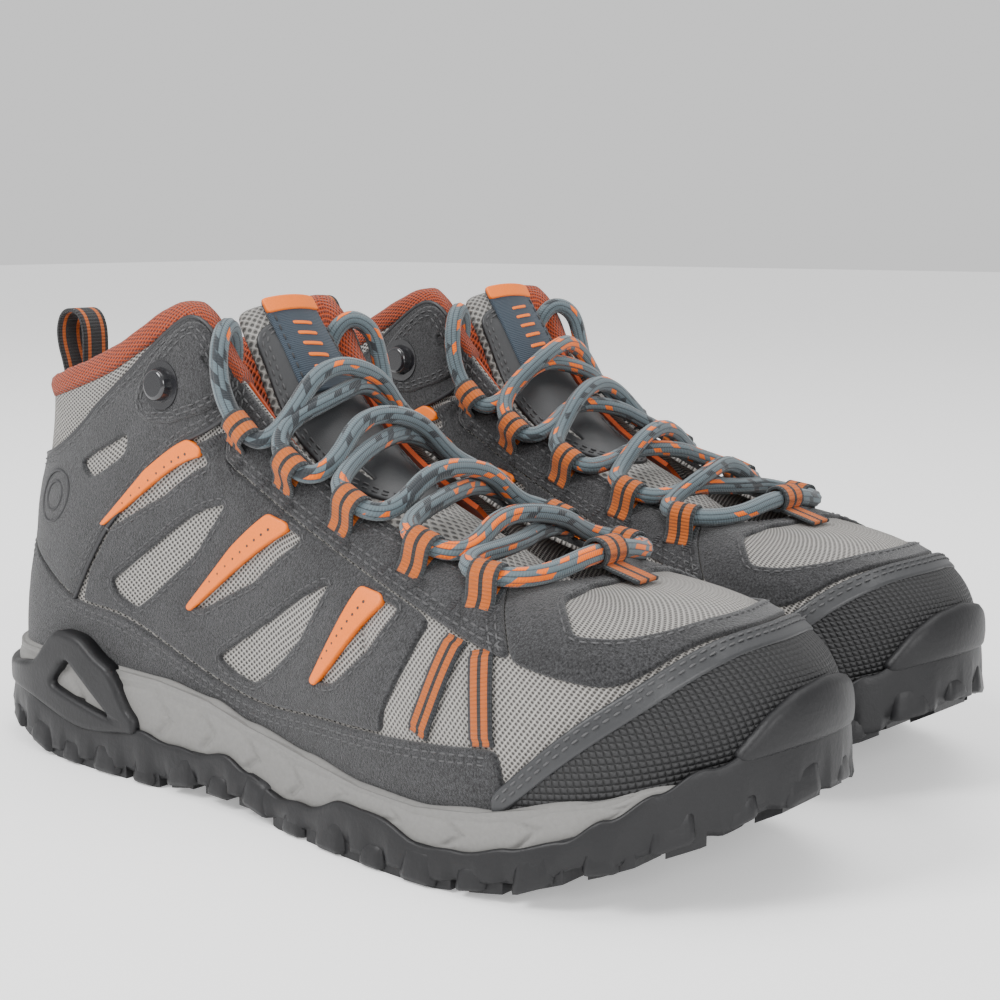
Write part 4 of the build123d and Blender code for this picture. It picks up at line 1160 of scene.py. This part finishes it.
LUGS, PLACES = 40, 2600
UPRIGHT = np.array([0, 0, 1.0])
lugs = []
u = np.arange(PLACES) * RING / PLACES
wall = sole_side(7.0)(u, 0.0)
inner = sole_side(6.0)(u, 0.0)
arc = travel(wall)
for k in range(LUGS):
    i = int(np.searchsorted(arc, (k + 0.5) * arc[-1] / LUGS)) % PLACES
    out = unit(wall[i] - inner[i])
    ex = np.array([-out[1], out[0], 0])
    x = wall[i][0]
    g0, g1 = [float(ground(x + s * ex[0] * 4)) for s in (-1, 1)]
    slope = unit(np.array([ex[0], ex[1], (g1 - g0) / 8]))
    g = float(ground(x))
    size = (12.2, 17, 10.5) if k % 2 else (9.6, 14, 7.6)
    lift = 0.35 * abs(float(ground(x - out[0] * 6)) - g)
    c = wall[i] - out * (size[1] / 2 - 1.2) + UPRIGHT * (g + size[2] / 2 + 0.05 + lift)
    lugs.append(block(c, slope, out, UPRIGHT, size, 2.1, -0.10))
both("lug_blocks", join(lugs), "rubber")

# The heel frame: its outline is set by distance from the heel and height.
places = np.linspace(0, 9, 400)
xs = sole_side(5)(places, 0.0)[:, 0]


def place_of(x):
    return float(np.interp(x, xs, places))


def x_at(u):
    return np.interp(np.abs(u), places, xs)


upper_clip = line([(-9, 27), (12, 27.5), (28, 30), (46, 43.3), (55, 43), (69, 36), (84, 20.5)])
lower_clip = line([(-9, 20), (20, 19.5), (60, 12.5), (84, 15)])
clip = strip(-place_of(84), place_of(84), lambda v: lower_clip(x_at(v)), lambda v: upper_clip(x_at(v)), 90)
hole = [(place_of(50), 34.5), (place_of(41), 25), (place_of(57), 21.5), (place_of(72), 18.5)]
frame_panel = panel(sole_side(5.3), clip, [hole, flipped(hole)], lift=0.6, thick=2.6, edge=1.8, pinch=0,
                    under=3.0, grid=3.0)
stands_for(both("heel_frame", frame_panel, "rubber"), "heel_clip")

both("stitching", join(seams), "stitch")
both("dark_stitching", join(dark_seams), "dark_stitch")

# ---- Floor, lights, camera ------------------------------------------------------------------------------
mesh = bpy.data.meshes.new("floor_mesh")
mesh.from_pydata([(-6, -6, 0), (6, -6, 0), (6, 6, 0), (-6, 6, 0)], [], [(0, 1, 2, 3)])
floor = bpy.data.objects.new("floor", mesh)
bpy.context.scene.collection.objects.link(floor)
n = Net("floor_white")
mesh.materials.append(n.set((0.9, 0.9, 0.9), 0.9, Specular_IOR_Level=0.1))
n.shader.inputs["Emission Color"].default_value = (1, 1, 1, 1)
n.shader.inputs["Emission Strength"].default_value = 0.35

world = bpy.data.worlds.new("studio")
bpy.context.scene.world = world
world.use_nodes = True
world.node_tree.nodes["Background"].inputs[0].default_value = (1, 1, 1, 1)
world.node_tree.nodes["Background"].inputs[1].default_value = 0.9


def light(name, where, at, size, power):
    data = bpy.data.lights.new(name, "AREA")
    data.energy = power
    data.size = size
    obj = bpy.data.objects.new(name, data)
    bpy.context.scene.collection.objects.link(obj)
    obj.location = where
    obj.rotation_euler = (Vector(at) - Vector(where)).to_track_quat("-Z", "Y").to_euler()


light("key", (-0.5, -1.3, 1.3), (0, 0, 0.05), 0.7, 32)
light("front", (1.4, -0.9, 0.8), (0, 0, 0.05), 0.6, 16)
light("top", (0.1, 0.2, 1.6), (0, 0, 0), 1.2, 12)

DISTANCE = 0.550
az, el = math.radians(39.3), math.radians(9.7)
back = Vector((math.sin(az) * math.cos(el), -math.cos(az) * math.cos(el), math.sin(el)))
target = Vector((0.02744, -0.06034, 0.080))
cam = bpy.data.cameras.new("camera")
cam.lens = 67.03
cam.sensor_width = 36
cam.shift_x, cam.shift_y = 0.064, 0.0415
cam.clip_start, cam.clip_end = 0.01, 50
camera = bpy.data.objects.new("camera", cam)
bpy.context.scene.collection.objects.link(camera)
camera.location = target + back * DISTANCE
camera.rotation_euler = (-back).to_track_quat("-Z", "Y").to_euler()
bpy.context.scene.camera = camera
